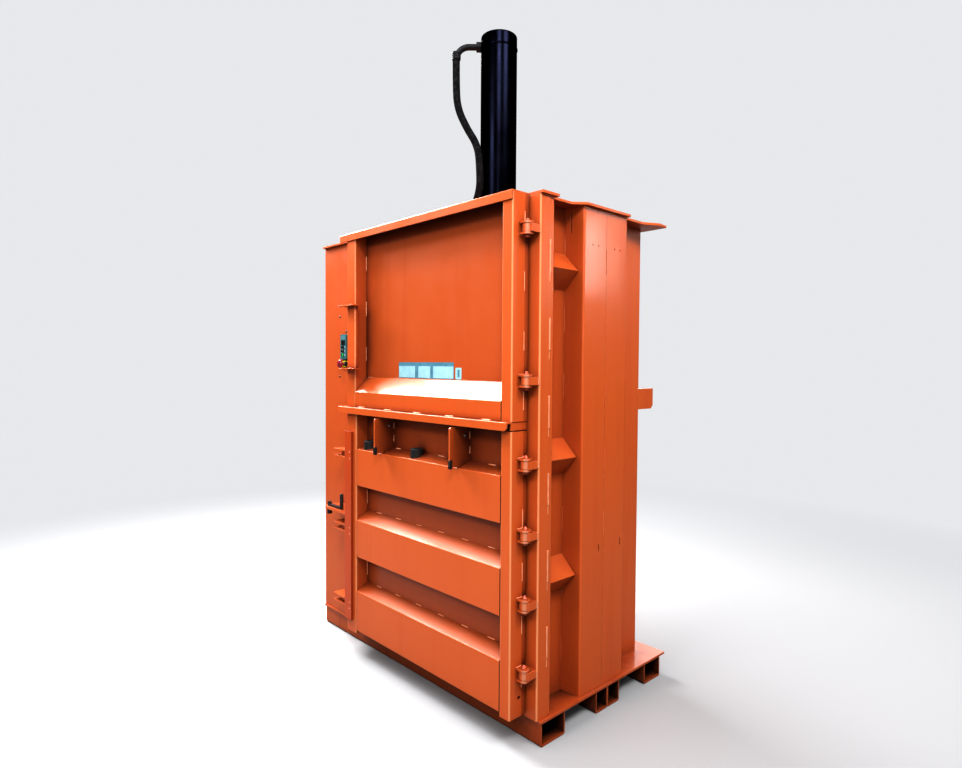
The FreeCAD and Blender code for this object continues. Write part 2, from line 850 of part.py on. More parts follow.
def drive():
    x = ("tank_left", "tank_left + tank_length")
    y = ("tank_front", "tank_front + tank_depth")
    z = ("floor_top", "tank_top")
    outer = block("tank_outer", x, y, z)
    inner = block("tank_inner", *[("%s + tank_wall" % a, "%s - tank_wall" % b) for a, b in (x, y, z)])
    filler = round_bar("tank_filler", "Z", ("tank_left + tank_length / 4", "tank_front + tank_depth / 4"),
                       "filler_radius", "tank_top - 2 * tank_wall", "tank_top + tank_wall")
    cap = round_bar("filler_cap", "Z", ("tank_left + tank_length / 4", "tank_front + tank_depth / 4"),
                    "filler_radius + filler_rim", "tank_top", "tank_top + filler_cap_height")
    piece(group("tank_set", [cut("tank", outer, [inner, filler]), cap]), "oil_tank")

    centre = ("tank_left + tank_length / 2", "tank_front + tank_depth * 2 / 3")
    foot = round_bar("motor_foot_disc", "Z", centre, "motor_foot_radius", "tank_top",
                     "tank_top + motor_foot")
    body = round_bar("motor_body", "Z", centre, "motor_radius", "tank_top",
                     "tank_top + motor_height")
    left = "tank_left + tank_length - valve_length"
    valves = block("valves", (left, left + " + valve_length"), ("tank_front", "tank_front + valve_width"),
                   ("tank_top", "tank_top + valve_height"))
    piece(group("pump_set", [fuse("motor", [foot, body]), valves]), "hydraulic_pump")


# Cylinder on the roof, with its flange, gland and cap; the ram inside it carries the platen.

def cylinder():
    centre = ("ram_x", "ram_y")
    disc = round_bar("flange_disc", "Z", centre, "flange_radius", "roof_height",
                     "roof_height + flange_sheet")
    hole = round_bar("flange_hole", "Z", centre, "cylinder_radius + joint_gap",
                     "roof_height - flange_sheet", "roof_height + 2 * flange_sheet")
    piece(cut("flange", disc, [hole]), "cylinder_flange")

    tube = round_bar("tube_outer", "Z", centre, "cylinder_radius", "cylinder_low", "cap_low")
    bore = round_bar("tube_bore", "Z", centre, "bore_radius", "cylinder_low - wall_sheet",
                     "cap_low + wall_sheet")
    piece(cut("tube", tube, [bore]), "cylinder_barrel")

    ring = round_bar("gland_outer", "Z", centre, "bore_radius - pin_clearance", "cylinder_low",
                     "cylinder_low + gland_height")
    bore = round_bar("gland_bore", "Z", centre, "rod_radius + pin_clearance",
                     "cylinder_low - wall_sheet", "cylinder_low + gland_height + wall_sheet")
    piece(cut("gland", ring, [bore]), "cylinder_gland")

    cap = round_bar("cap_disc", "Z", centre, "cylinder_radius", "cap_low", "overall_height")
    doc.recompute()
    rim = [(entry, number("cap_round"), number("cap_round"))
           for entry, edge in enumerate(cap.Shape.Edges, start=1)
           if len(edge.Vertexes) == 1 and edge.Vertexes[0].Z > number("overall_height - 1")]
    rounded = doc.addObject("Part::Fillet", "cap_rounded")
    rounded.Base = cap
    rounded.Edges = rim
    piece(rounded, "cylinder_cap")

    head = round_bar("piston_body", "Z", centre, "bore_radius - pin_clearance", "piston_low",
                     "piston_high")
    grooves = []
    for entry in (1, 2):
        low = "piston_low + %d * piston_height / 3 - piston_groove / 2" % entry
        outer = round_bar("groove_outer_%d" % entry, "Z", centre, "bore_radius + wall_sheet", low,
                          low + " + piston_groove")
        inner = round_bar("groove_inner_%d" % entry, "Z", centre, "bore_radius - piston_groove",
                          low + " - piston_groove", low + " + 2 * piston_groove")
        grooves.append(cut("groove_%d" % entry, outer, [inner]))
    piece(cut("piston_cut", head, grooves), "piston")

    rod = round_bar("rod_bar", "Z", centre, "rod_radius", "platen_beam_top", "piston_low")
    foot = round_bar("rod_foot_disc", "Z", centre, "rod_foot_radius", "platen_beam_top",
                     "platen_beam_top + rod_foot")
    piece(fuse("rod", [rod, foot]), "piston_rod")


# Platen: a flat press plate under three square tubes; the rod stands on the middle one.

def platen():
    x = ("chamber_left + platen_gap", "chamber_right - platen_gap")
    front = "frame_front + platen_gap"
    rear = "chamber_rear - platen_gap"
    piece(block("press_plate", x, (front, rear), ("platen_low", "platen_top")), "platen_plate")
    starts = (front + " + platen_beam_width", "ram_y - platen_beam_width / 2",
              rear + " - 2 * platen_beam_width")
    beams = []
    for entry, start in enumerate(starts):
        y = (start, start + " + platen_beam_width")
        z = ("platen_top", "platen_beam_top")
        beams.append(prism("platen_beam_%d" % entry, "X", rectangle(y, z), x[0], x[1],
                           [inside(y, z, "platen_beam_wall")]))
    piece(group("platen_beam_set", beams), "platen_beams")


# Hose from the cylinder cap to the cabinet roof, with an elbow and a bulkhead block.
# Route points are (out from the barrel's surface, forward, height under the elbow's end),
# then (out from the surface, forward, height over the roof) where the hose passes the
# barrel's foot, then (x from the tube ends, y from the tube front, height over the roof).

HOSE_TURN = math.radians(226.8)
HOSE_HIGH = [(117, 0, 0), (117, 0, -108), (111, 5, -223), (67, 26, -325), (11, 54, -421)]
HOSE_LOW = [(2, 64, 270), (1, 63, 175), (39, 23, 78)]
HOSE_ROOF = [(-788, 263, 24), (-905, 267, 18), (-1020, 274, 17.6), (-1130, 279, 20),
             (-1240, 281, 26)]


def hose_points():
    """The hose's route in the part's frame."""
    along = FreeCAD.Vector(math.cos(HOSE_TURN), math.sin(HOSE_TURN), 0)
    ahead = FreeCAD.Vector(-along.y, along.x, 0)
    side = FreeCAD.Vector(number("ram_x"), number("ram_y"), 0) + along * number("cylinder_radius")
    high = side + FreeCAD.Vector(0, 0, number("hose_start"))
    low = side + FreeCAD.Vector(0, 0, number("roof_height"))
    roof = FreeCAD.Vector(number("tubes_right"), number("tube_front"), number("roof_height"))
    points = [high + along * a + ahead * b + FreeCAD.Vector(0, 0, z) for a, b, z in HOSE_HIGH]
    points += [low + along * a + ahead * b + FreeCAD.Vector(0, 0, z) for a, b, z in HOSE_LOW]
    return points + [roof + FreeCAD.Vector(*point) for point in HOSE_ROOF]


def rounded_wire(points):
    """Straight runs joined by tangent arcs, each as large as its runs allow."""
    edges = []
    radii = []
    last = points[0]
    for before, here, after in zip(points, points[1:], points[2:]):
        come = here - before
        leave = after - here
        trim = 0.45 * min(come.Length, leave.Length)
        turn = come.getAngle(leave)
        radii.append(trim / math.tan(turn / 2))
        start = here - come.normalize() * trim
        end = here + leave.normalize() * trim
        bisector = (leave - come).normalize()
        bulge = radii[-1] / math.cos(turn / 2) - radii[-1]
        edges.append(Part.LineSegment(last, start).toShape())
        edges.append(Part.Arc(start, here + bisector * bulge, end).toShape())
        last = end
    edges.append(Part.LineSegment(last, points[-1]).toShape())
    return Part.Wire(edges), radii


def swept(wire, start, direction, radius, bore=0):
    """A round bar or tube along a wire."""
    profile = Part.Wire(Part.makeCircle(radius, start, direction))
    solid = wire.makePipeShell([profile], True, False)
    if bore:
        hollow = wire.makePipeShell([Part.Wire(Part.makeCircle(bore, start, direction))], True, False)
        solid = solid.cut(hollow)
    return solid


def feature(label, shape):
    """A finished shape as a document object with its own placement."""
    thing = doc.addObject("Part::Feature", label)
    thing.Shape = shape
    thing.Placement = FreeCAD.Placement()
    return piece(thing, label)


def hexagon(centre, direction, radius, length):
    """A hexagonal nut body."""
    turn = FreeCAD.Rotation(FreeCAD.Vector(0, 0, 1), direction)
    corners = [centre + turn.multVec(FreeCAD.Vector(radius * math.cos(math.radians(60 * k)),
                                                    radius * math.sin(math.radians(60 * k)), 0))
               for k in range(7)]
    return Part.Face(Part.makePolygon(corners)).extrude(FreeCAD.Vector(direction) * length)


def hose():
    points = hose_points()
    wire, radii = rounded_wire(points)
    down = points[1] - points[0]
    radius = number("hose_radius")
    tube = swept(wire, points[0], down, radius)
    print("hose length %.1f, arcs %s" % (wire.Length, [round(r) for r in radii]))
    print("hose volume ratio %.4f" % (tube.Volume / (math.pi * radius ** 2 * wire.Length)))
    feature("hydraulic_hose", tube)

    along = FreeCAD.Vector(math.cos(HOSE_TURN), math.sin(HOSE_TURN), 0)
    axis = FreeCAD.Vector(number("ram_x"), number("ram_y"), number("fitting_height"))
    bend = number("fitting_bend")
    start = axis + along * number("cylinder_radius")
    turn_start = points[0] + FreeCAD.Vector(0, 0, bend) - along * bend
    turn_start.z = axis.z
    end = points[0]
    turn_end = FreeCAD.Vector(end.x, end.y, axis.z - bend)
    slant = math.sin(math.radians(45))
    middle = turn_start + along * (bend * slant) - FreeCAD.Vector(0, 0, bend * (1 - slant))
    path = Part.Wire([Part.LineSegment(start, turn_start).toShape(),
                      Part.Arc(turn_start, middle, turn_end).toShape()])
    pipe = swept(path, start, along, number("fitting_radius"))
    nut = hexagon(start, along, number("nut_radius"), number("nut_length"))
    ferrule = Part.makeCylinder(number("ferrule_radius"), number("ferrule_length"), end,
                                FreeCAD.Vector(0, 0, 1))
    feature("hose_elbow", pipe.fuse([nut, ferrule]).removeSplitter())

    size = number("bulkhead_size")
    last = points[-1]
    direction = (points[-2] - last).normalize()
    length = number("ferrule_length")
    low = number("roof_height")
    side = last - direction * (length + number("nut_length"))
    body = Part.makeBox(size, size, size, FreeCAD.Vector(side.x - size, side.y - size / 2, low))
    collar = hexagon(side - direction * number("tank_wall"), direction, number("nut_radius"),
                     number("nut_length") + number("tank_wall"))
    ferrule = Part.makeCylinder(number("ferrule_radius"), length, last, direction * -1)
    feature("hose_bulkhead", body.fuse([collar, ferrule]).removeSplitter())


# Hinges: barrels with a lug on the right column, pins through them, ears on the doors.

def hinges():
    centre = ("hinge_x", "hinge_y")
    barrels = []
    pins = []
    for height in UPPER_HINGES + LOWER_HINGES:
        low = height + " - barrel_height / 2"
        high = height + " + barrel_height / 2"
        ring = round_bar("barrel_" + height, "Z", centre, "barrel_radius", low, high)
        lug = block("lug_" + height, ("hinge_x", "hinge_x + lug_reach"),
                    ("hinge_y - lug_half_depth", "frame_front"), (low, high))
        bore = round_bar("bore_" + height, "Z", centre, "pin_radius + pin_clearance",
                         low + " - ear_gap", high + " + ear_gap")
        barrels.append(cut("barrel_cut_" + height, fuse("barrel_fuse_" + height, [ring, lug]), [bore]))
        top = height + " + pin_above"
        shank = round_bar("shank_" + height, "Z", centre, "pin_radius", height + " - pin_below", top)
        tip = cone("tip_" + height, centre, "pin_radius", "pin_radius / 3", top, top + " + pin_tip")
        pins.append(fuse("pin_" + height, [shank, tip]))
    piece(group("barrel_set", barrels), "hinge_barrels")
    piece(group("pin_set", pins), "hinge_pins")


def hinge_ears(label, heights):
    """Two ears per hinge on the side of a door, one above and one below the barrel."""
    centre = ("hinge_x", "hinge_y")
    ears = []
    for height in heights:
        offset = "barrel_height / 2 + ear_gap"
        levels = (("%s + %s" % (height, offset), "%s + %s + ear_sheet" % (height, offset)),
                  ("%s - %s - ear_sheet" % (height, offset), "%s - (%s)" % (height, offset)))
        levels = (levels[0], ("%s - (%s) - ear_sheet" % (height, offset), levels[1][1]))
        for side, (low, high) in enumerate(levels):
            tag = "%s_%d" % (height, side)
            plate = block("ear_" + tag, ("door_right", "hinge_x"),
                          ("hinge_y - ear_radius", "hinge_y + ear_radius"), (low, high))
            end = round_bar("ear_end_" + tag, "Z", centre, "ear_radius", low, high)
            bore = round_bar("ear_bore_" + tag, "Z", centre, "pin_radius + pin_clearance",
                             low + " - ear_gap", high + " + ear_gap")
            ears.append(cut("ear_cut_" + tag, fuse("ear_fuse_" + tag, [plate, end]), [bore]))
    piece(group(label + "_set", ears), label)


def door_panel(label, low, high):
    """The door's back sheet: a shallow tray whose flanges point at the machine."""
    tray = block(label + "_tray", ("door_left", "door_right"), ("panel_front", "door_back"), (low, high))
    hollow = block(label + "_hollow", ("door_left + door_sheet", "door_right - door_sheet"),
                   ("panel_front + door_sheet", "door_back + door_sheet"),
                   (low + " + door_sheet", high + " - door_sheet"))
    piece(cut(label + "_cut", tray, [hollow]), label)


def post(label, left, right, low, high):
    """A folded channel standing on the front of a door panel, open at its back."""
    front = "door_front"
    back = "panel_front"
    skin = "post_sheet"
    outer = [(left, front), (right, front)]
    inner = [("%s + %s" % (left, skin), "%s + %s" % (front, skin)),
             ("%s - %s" % (right, skin), "%s + %s" % (front, skin))]
    section = [(left, back), outer[0], outer[1], (right, back), (inner[1][0], back), inner[1],
               inner[0], (inner[0][0], back)]
    return prism(label, "Z", section, low, high, [],
                 [(outer, "post_bend"), (inner, "post_bend - post_sheet")])


# Upper door: tray panel, two posts, a sloping sill, top and bottom plates with lips.

def upper_door():
    low = "upper_door_low"
    high = "roof_low"
    door_panel("upper_door_panel", low, high)
    posts = [post("upper_post_left", "door_left", "upper_left_post", low, high),
             post("upper_post_right", "right_post", "door_right", low, high)]
    piece(group("upper_post_pair", posts), "upper_door_posts")

    front = "door_front"
    back = "panel_front"
    edge = low + " + sill_front_height"
    top = edge + " + sill_slope_height"
    section = [(front, low), (front, edge), (back, top), (back, top + " - 1.5 * post_sheet"),
               (front + " + post_sheet", edge + " - post_sheet / 2"), (front + " + post_sheet", low)]
    piece(prism("sill", "X", section, "upper_left_post", "right_post", [],
                [([(front, edge)], "post_bend / 2")]), "upper_door_sill")

    skin = "door_sheet"
    lip = front + " - " + skin
    section = [("door_back", high), ("door_back", high + " + " + skin), (lip, high + " + " + skin),
               (lip, high + " - top_lip_drop"), (front, high + " - top_lip_drop"), (front, high)]
    piece(prism("top_plate", "X", section, "door_left - top_plate_reach", "door_right", [],
                [([(lip, high + " + " + skin)], "post_bend / 2")]), "upper_door_top_plate")

    lip = "tube_front - bottom_lip_reach"
    right = "tubes_right - bottom_lip_inset"
    left = right + " - bottom_lip_length"
    section = [("door_back", low), (lip, low), (lip, "bottom_lip_low"),
               (lip + " + " + skin, "bottom_lip_low"), (lip + " + " + skin, low + " - " + skin),
               ("door_back", low + " - " + skin)]
    plate = prism("bottom_plate", "X", section, left, right, [], [([(lip, low)], "post_bend / 2")])
    end = block("bottom_end", (right + " - " + skin, right), (front, "door_back"),
                ("bottom_lip_low", low + " - " + skin))
    size = "bottom_lip_chamfer"
    corner = [(right + " - " + size, "bottom_lip_low - 1"), (right + " + 1", "bottom_lip_low - 1"),
              (right + " + 1", "bottom_lip_low + " + size)]
    nick = prism("lip_nick", "Y", corner, lip + " - " + skin, lip + " + 1.5 * " + skin)
    piece(cut("bottom_cut", fuse("bottom_fuse", [plate, end]), [nick]), "upper_door_bottom_plate")

    skin = "handle_sheet"
    face = front + " - handle_standoff"
    left = "door_left + handle_inset"
    right = left + " + handle_width"
    corners = [(left, face + " - " + skin), (right, face + " - " + skin)]
    hollow = [(left + " + " + skin, face), (right + " - " + skin, face)]
    section = [(left, front), corners[0], corners[1], (right, front), (hollow[1][0], front),
               hollow[1], hollow[0], (hollow[0][0], front)]
    plate = prism("handle_plate", "Z", section, "handle_low", "handle_high", [],
                  [(corners, "post_bend"), (hollow, "post_bend - post_sheet")])
    wing = "tubes_right - wing_left"
    wings = [block("handle_wing_%d" % entry, (wing, wing + " + wing_length"),
                   ("tube_front - front_reach", front), z)
             for entry, z in enumerate((("handle_high", "handle_high + " + skin),
                                        ("handle_low - " + skin, "handle_low")))]
    piece(fuse("handle", [plate] + wings), "upper_door_handle")
    hinge_ears("upper_door_hinge_ears", UPPER_HINGES)


# Lower door: tray panel, two posts, three deep ribs, two gussets, twine guides and the
# lock bar with its three tongues.

def lower_door():
    low = "lower_door_low"
    high = "lower_door_high"
    door_panel("lower_door_panel", low, high)
    slot = block("drain_slot", ("door_right - 2 * post_sheet", "door_right + post_sheet"),
                 ("panel_front - 1.25 * drain_slot_length", "panel_front - drain_slot_length / 4"),
                 ("drain_slot_height", "drain_slot_height + drain_slot_rise"))
    posts = [post("lower_post_left", "door_left", "lower_left_post", low, high),
             cut("lower_post_right_cut", post("lower_post_right", "right_post", "door_right", low, high),
                 [slot])]
    piece(group("lower_post_pair", posts), "lower_door_posts")

    front = "door_front"
    back = "panel_front"
    skin = "post_sheet"
    ribs = []
    for name in ("top_rib", "middle_rib", "bottom_rib"):
        bottom, edge, top = name + "_low", name + "_edge", name + "_high"
        outer = [(front, bottom), (front, edge)]
        section = [(back, bottom), outer[0], outer[1], (back, top), (back, "%s - %s" % (top, skin)),
                   (front + " + " + skin, "%s - %s / 2" % (edge, skin)),
                   (front + " + " + skin, "%s + %s" % (bottom, skin)),
                   (back, "%s + %s" % (bottom, skin))]
        ribs.append(prism("door_" + name, "X", section, "lower_left_post", "right_post", [],
                          [(outer, "post_bend / 2")]))
    piece(group("door_rib_set", ribs), "lower_door_ribs")

    nose = "tube_front - gusset_reach"
    outline = [(back, "top_rib_high"), (back, "gusset_high"), (nose, "gusset_high"),
               (nose, "gusset_low"), (front, "gusset_low"), (front, "top_rib_edge")]
    gussets = []
    for name in ("gusset_left", "gusset_right"):
        x = "tubes_right - %s - gusset_sheet / 2" % name
        plate = prism(name + "_plate", "X", outline, x, x + " + gusset_sheet", [],
                      [([(nose, "gusset_high")], "gusset_round")])
        hole = round_bar(name + "_hole", "X", ("tube_front - gusset_hole_reach", "gusset_hole_height"),
                         "gusset_hole_radius", x + " - gusset_sheet", x + " + 2 * gusset_sheet")
        gussets.append(cut(name + "_cut", plate, [hole]))
    piece(group("gusset_pair", gussets), "lower_door_gussets")

    under = [(front, "0"), (front, "top_rib_edge"), (back, "top_rib_high"), (back, "0")]
    guides = []
    for name in ("guide_left", "guide_right"):
        x = "tubes_right - " + name
        centre = (x, "tube_front - guide_reach")
        body = round_bar(name + "_body", "Z", centre, "guide_radius", "top_rib_edge", "guide_high")
        hole = round_bar(name + "_hole", "Z", centre, "guide_hole", "gusset_low - guide_radius",
                         "guide_high + guide_radius")
        wedge = prism(name + "_wedge", "X", under, x + " - 2 * guide_radius", x + " + 2 * guide_radius")
        guides.append(cut(name + "_cut", body, [hole, wedge]))
    piece(group("guide_set", guides), "twine_guides")

    bar = block("lock_flat", ("door_left", "door_left + lock_bar_width"),
                (front + " - lock_bar_depth", front), ("lock_bar_low", "lock_bar_high"))
    tongues = [block("tongue_" + height, ("door_left - tongue_length", "door_left"),
                     ("tube_front - tongue_front", "tube_front - tongue_back"),
                     (height + " - tongue_half", height + " + tongue_half"))
               for height in LOCK_HEIGHTS]
    piece(group("lock_set", [bar] + tongues), "lock_bar")
    hinge_ears("lower_door_hinge_ears", LOWER_HINGES)


# Lock on the cabinet front: three pairs of ear plates and the lever on its bracket.

def lock():
    front = "tube_front - lock_ear_reach"
    right = "door_left - lock_ear_gap"
    ears = []
    for height in LOCK_HEIGHTS:
        spans = (("%s + lock_ear_inner" % height, "%s + lock_ear_inner + lock_ear_sheet" % height),
                 ("%s - lock_ear_inner - lock_ear_sheet" % height, "%s - lock_ear_inner" % height))
        for side, z in enumerate(spans):
            ears.append(block("lock_ear_%s_%d" % (height, side),
                              ("tubes_right - lock_ear_left", right), (front, "cabinet_front"), z))
    piece(group("lock_ear_set", ears), "lock_ears")

    left = "tubes_right - bracket_left"
    outline = [(left, front + " + bracket_corner"), (left + " + bracket_corner", front),
               (right, front), (right, "cabinet_front"), (left, "cabinet_front")]
    plate = prism("lever_plate", "Z", outline, "bracket_low", "bracket_high")
    centre = ("lever_x", "lever_y")
    hole = round_bar("lever_plate_hole", "Z", centre, "pivot_radius + pin_clearance",
                     "bracket_low - bracket_sheet", "bracket_high + bracket_sheet")
    piece(cut("lever_plate_cut", plate, [hole]), "lever_bracket")

    shank = round_bar("pivot_shank", "Z", centre, "pivot_radius", "bracket_low - knob_height",
                      "lever_high + pivot_nut")
    nut = round_bar("pivot_nut_body", "Z", centre, "pivot_nut_radius", "lever_high + joint_gap",
                    "lever_high + pivot_nut")
    knob = round_bar("pivot_knob", "Z", centre, "knob_radius", "bracket_low - knob_height", "bracket_low")
    washer = round_bar("pivot_washer", "Z", centre, "pivot_nut_radius", "bracket_high",
                       "lever_low - joint_gap")
    piece(fuse("pivot", [shank, nut, knob, washer]), "lever_bolt")

    arm = block("lever_arm", ("lever_x", "lever_x + lever_length"),
                ("lever_y - lever_width / 2", "lever_y + lever_width / 2"), ("lever_low", "lever_high"))
    ends = [round_bar("lever_end_%d" % entry, "Z", (x, "lever_y"), "lever_width / 2", "lever_low",
                      "lever_high")
            for entry, x in enumerate(("lever_x", "lever_x + lever_length"))]
    bore = round_bar("lever_bore", "Z", centre, "pivot_radius + pin_clearance",
                     "lever_low - lever_sheet", "lever_high + lever_sheet")
    lever = cut("lever_cut", fuse("lever_fuse", [arm] + ends), [bore])
    grip = round_bar("lever_grip", "Z", ("lever_x + lever_length", "lever_y"), "grip_radius",
                     "lever_high", "lever_high + grip_height")
    piece(group("lever_set", [lever, grip]), "lock_lever")


# Bale ejector: a plate on the chamber floor that tips up about a rod at its front.

def ejector():
    left = "chamber_left + ejector_side_gap"
    right = "chamber_right - ejector_side_gap"
    top = "ejector_z + ejector_sheet / 2"
    low = "ejector_z - ejector_sheet / 2"
    end = "ejector_y + ejector_length"
    section = [("ejector_y", low), ("ejector_y", top), (end, top), (end, "floor_top + joint_gap"),
               (end + " - ejector_sheet", "floor_top + joint_gap"), (end + " - ejector_sheet", low)]
    plate = prism("ejector_flat", "X", section, left, right)
    centre = ("ejector_y", "ejector_z")
    middle = "(%s + %s) / 2" % (left, right)
    offset = "(chamber_width / 3)"
    knuckles = []
    for step in (-1, 0, 1):
        start = "%s + %d * %s - knuckle_length / 2" % (middle, step, offset)
        knuckles.append(round_bar("knuckle_%d" % (step + 1), "X", centre, "knuckle_radius", start,
                                  start + " + knuckle_length"))
    bore = round_bar("ejector_bore", "X", centre, "ejector_rod_radius + pin_clearance", left, right)
    piece(cut("ejector_cut", fuse("ejector_fuse", [plate] + knuckles), [bore]), "ejector_plate")

    rod = round_bar("ejector_rod", "X", centre, "ejector_rod_radius",
                    left + " - bracket_width - joint_gap", right + " + bracket_width + joint_gap")
    brackets = []
    spans = ((left + " - joint_gap - bracket_width", left + " - joint_gap"),
             (right + " + joint_gap", right + " + joint_gap + bracket_width"))
    for entry, x in enumerate(spans):
        foot = block("ejector_foot_%d" % entry, x,
                     ("ejector_y - ejector_bracket_half", "ejector_y + ejector_bracket_half"),
                     ("floor_top", "floor_top + ejector_bracket_height"))
        bore = round_bar("ejector_foot_bore_%d" % entry, "X", centre,
                         "ejector_rod_radius + pin_clearance", x[0] + " - bracket_width",
                         x[1] + " + bracket_width")
        brackets.append(cut("ejector_foot_cut_%d" % entry, foot, [bore]))
    piece(group("ejector_hinge_set", [rod] + brackets), "ejector_hinge")


for build in (base, chamber, columns, side_stiffeners, rear_stiffeners, cabinet, controls, drive,
              cylinder, platen, hose, hinges, upper_door, lower_door, lock, ejector):
    build()
doc.recompute()

# ---------------------------------------------------------------------------
# Check every object, then write each sub-part to its own file.

for thing in doc.Objects:
    if "Invalid" in thing.State or "Error" in thing.State:
        raise RuntimeError("failed object: " + thing.Label)
for thing in PIECES:
    if thing.Shape.isNull() or not thing.Shape.isValid():
        raise RuntimeError("bad shape: " + thing.Label)

os.makedirs("parts", exist_ok=True)
for thing in PIECES:
    thing.Shape.exportStep("parts/%s.step" % thing.Label)
print("sub-parts:", len(PIECES))
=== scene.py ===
import math

import bmesh
import bpy
from mathutils import Matrix, Vector


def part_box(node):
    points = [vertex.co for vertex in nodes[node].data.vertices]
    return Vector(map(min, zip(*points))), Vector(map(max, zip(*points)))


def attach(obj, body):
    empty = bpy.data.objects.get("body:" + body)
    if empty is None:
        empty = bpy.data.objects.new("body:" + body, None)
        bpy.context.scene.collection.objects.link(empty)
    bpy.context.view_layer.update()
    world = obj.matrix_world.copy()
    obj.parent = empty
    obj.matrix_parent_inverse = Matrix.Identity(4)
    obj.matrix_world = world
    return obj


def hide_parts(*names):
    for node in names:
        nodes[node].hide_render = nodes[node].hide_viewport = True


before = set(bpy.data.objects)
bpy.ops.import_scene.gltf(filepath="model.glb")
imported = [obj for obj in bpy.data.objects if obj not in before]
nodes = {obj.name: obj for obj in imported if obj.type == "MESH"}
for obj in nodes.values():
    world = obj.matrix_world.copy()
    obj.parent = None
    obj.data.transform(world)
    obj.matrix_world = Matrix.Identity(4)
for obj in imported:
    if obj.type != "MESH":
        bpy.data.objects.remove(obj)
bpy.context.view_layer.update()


# The studio: a plain pale floor and a pale room, and the camera at a standing person's
# eye height, off the machine's hinge side.
def new_material(name, colour, roughness, metallic=0.0):
    material = bpy.data.materials.new(name)
    material.use_nodes = True
    shader = material.node_tree.nodes["Principled BSDF"]
    shader.inputs["Base Color"].default_value = (*colour, 1)
    shader.inputs["Roughness"].default_value = roughness
    shader.inputs["Metallic"].default_value = metallic
    return material, material.node_tree, shader


def input_of(node, name, value):
    """Sets one socket of a node, by a link or by a constant."""
    socket = node.inputs[name]
    if isinstance(value, bpy.types.NodeSocket):
        node.id_data.links.new(value, socket)
    else:
        socket.default_value = value


def add_node(tree, kind, settings=None, **inputs):
    """Adds one shader node; names with _ stand for the socket names with spaces."""
    node = tree.nodes.new(kind)
    for key, value in (settings or {}).items():
        setattr(node, key, value)
    for key, value in inputs.items():
        input_of(node, key.replace("_", " "), value)
    return node


def ramp(tree, value, low, high, start=0.0, end=1.0):
    """Maps a value's range low..high to start..end."""
    node = add_node(tree, "ShaderNodeMapRange", {"clamp": True}, Value=value)
    for name, number in (("From Min", low), ("From Max", high), ("To Min", start), ("To Max", end)):
        node.inputs[name].default_value = number
    return node.outputs["Result"]


def blend_colour(tree, factor, one, two):
    """A colour between two, by a factor."""
    node = add_node(tree, "ShaderNodeMix", {"data_type": "RGBA"})
    sockets = {"Factor": node.inputs[0], "A": node.inputs[6], "B": node.inputs[7]}
    for key, value in (("Factor", factor), ("A", one), ("B", two)):
        if isinstance(value, bpy.types.NodeSocket):
            tree.links.new(value, sockets[key])
        elif key == "Factor":
            sockets[key].default_value = value
        else:
            sockets[key].default_value = (*value, 1)
    return node.outputs[2]


camera_data = bpy.data.cameras.new("camera")
camera_data.sensor_width = 36
camera_data.lens = 23.61
camera = bpy.data.objects.new("camera", camera_data)
bpy.context.scene.collection.objects.link(camera)
camera.matrix_world = (Matrix.Translation((2.3225, -2.1296, 1.4333))
                       @ Matrix.Rotation(math.radians(46.81), 4, "Z")
                       @ Matrix.Rotation(math.radians(88.26), 4, "X")
                       @ Matrix.Rotation(math.radians(0.35), 4, "Z"))
bpy.context.scene.camera = camera

ROOM_TONE = (0.93, 0.94, 0.96, 1)
ROOM_BRIGHTNESS = 0.9
FLOOR_GREY = (0.16, 0.16, 0.16)
FLOOR_PALE = (0.52, 0.52, 0.53)
bpy.ops.object.select_all(action="DESELECT")
bpy.ops.mesh.primitive_plane_add(size=60, location=(0, 0, -0.001))
floor = bpy.context.object
floor.name = "studio_floor"
floor_finish, tree, shader = new_material("studio_floor", FLOOR_PALE, 0.8)
shader.inputs["Specular IOR Level"].default_value = 0.0
# the camera sees a paler floor than the machine does, and further out the room's own tone
straight = tree.nodes.new("ShaderNodeLightPath").outputs["Is Camera Ray"]
tree.links.new(blend_colour(tree, straight, FLOOR_GREY, FLOOR_PALE), shader.inputs["Base Color"])
place = tree.nodes.new("ShaderNodeTexCoord")
distance = add_node(tree, "ShaderNodeVectorMath", {"operation": "LENGTH"})
tree.links.new(place.outputs["Object"], distance.inputs[0])
seen = add_node(tree, "ShaderNodeMath", {"operation": "MULTIPLY"})
tree.links.new(ramp(tree, distance.outputs["Value"], 1.2, 5.0), seen.inputs[0])
tree.links.new(straight, seen.inputs[1])
glow = add_node(tree, "ShaderNodeEmission", Color=ROOM_TONE, Strength=ROOM_BRIGHTNESS)
blend = add_node(tree, "ShaderNodeMixShader", Fac=seen.outputs[0])
tree.links.new(shader.outputs["BSDF"], blend.inputs[1])
tree.links.new(glow.outputs["Emission"], blend.inputs[2])
tree.links.new(blend.outputs["Shader"], tree.nodes["Material Output"].inputs["Surface"])
floor.data.materials.append(floor_finish)

room = bpy.data.worlds.new("room")
room.use_nodes = True
tree = room.node_tree
sky = tree.nodes["Background"]
sky.inputs["Color"].default_value = ROOM_TONE
straight = tree.nodes.new("ShaderNodeLightPath").outputs["Is Camera Ray"]
tree.links.new(ramp(tree, straight, 0, 1, 0.12, ROOM_BRIGHTNESS), sky.inputs["Strength"])
bpy.context.scene.world = room
bpy.context.scene.view_settings.view_transform = "Standard"
bpy.context.scene.view_settings.gamma = 0.8


def soft_light(name, place, target, width, height, power):
    """An area light at a place, turned to a target."""
    light = bpy.data.lights.new(name, "AREA")
    light.shape = "RECTANGLE"
    light.size = width
    light.size_y = height
    light.energy = power
    lamp = bpy.data.objects.new(name, light)
    lamp.location = place
    lamp.rotation_euler = (Vector(target) - Vector(place)).to_track_quat("-Z", "Y").to_euler()
    lamp.visible_camera = False
    bpy.context.scene.collection.objects.link(lamp)


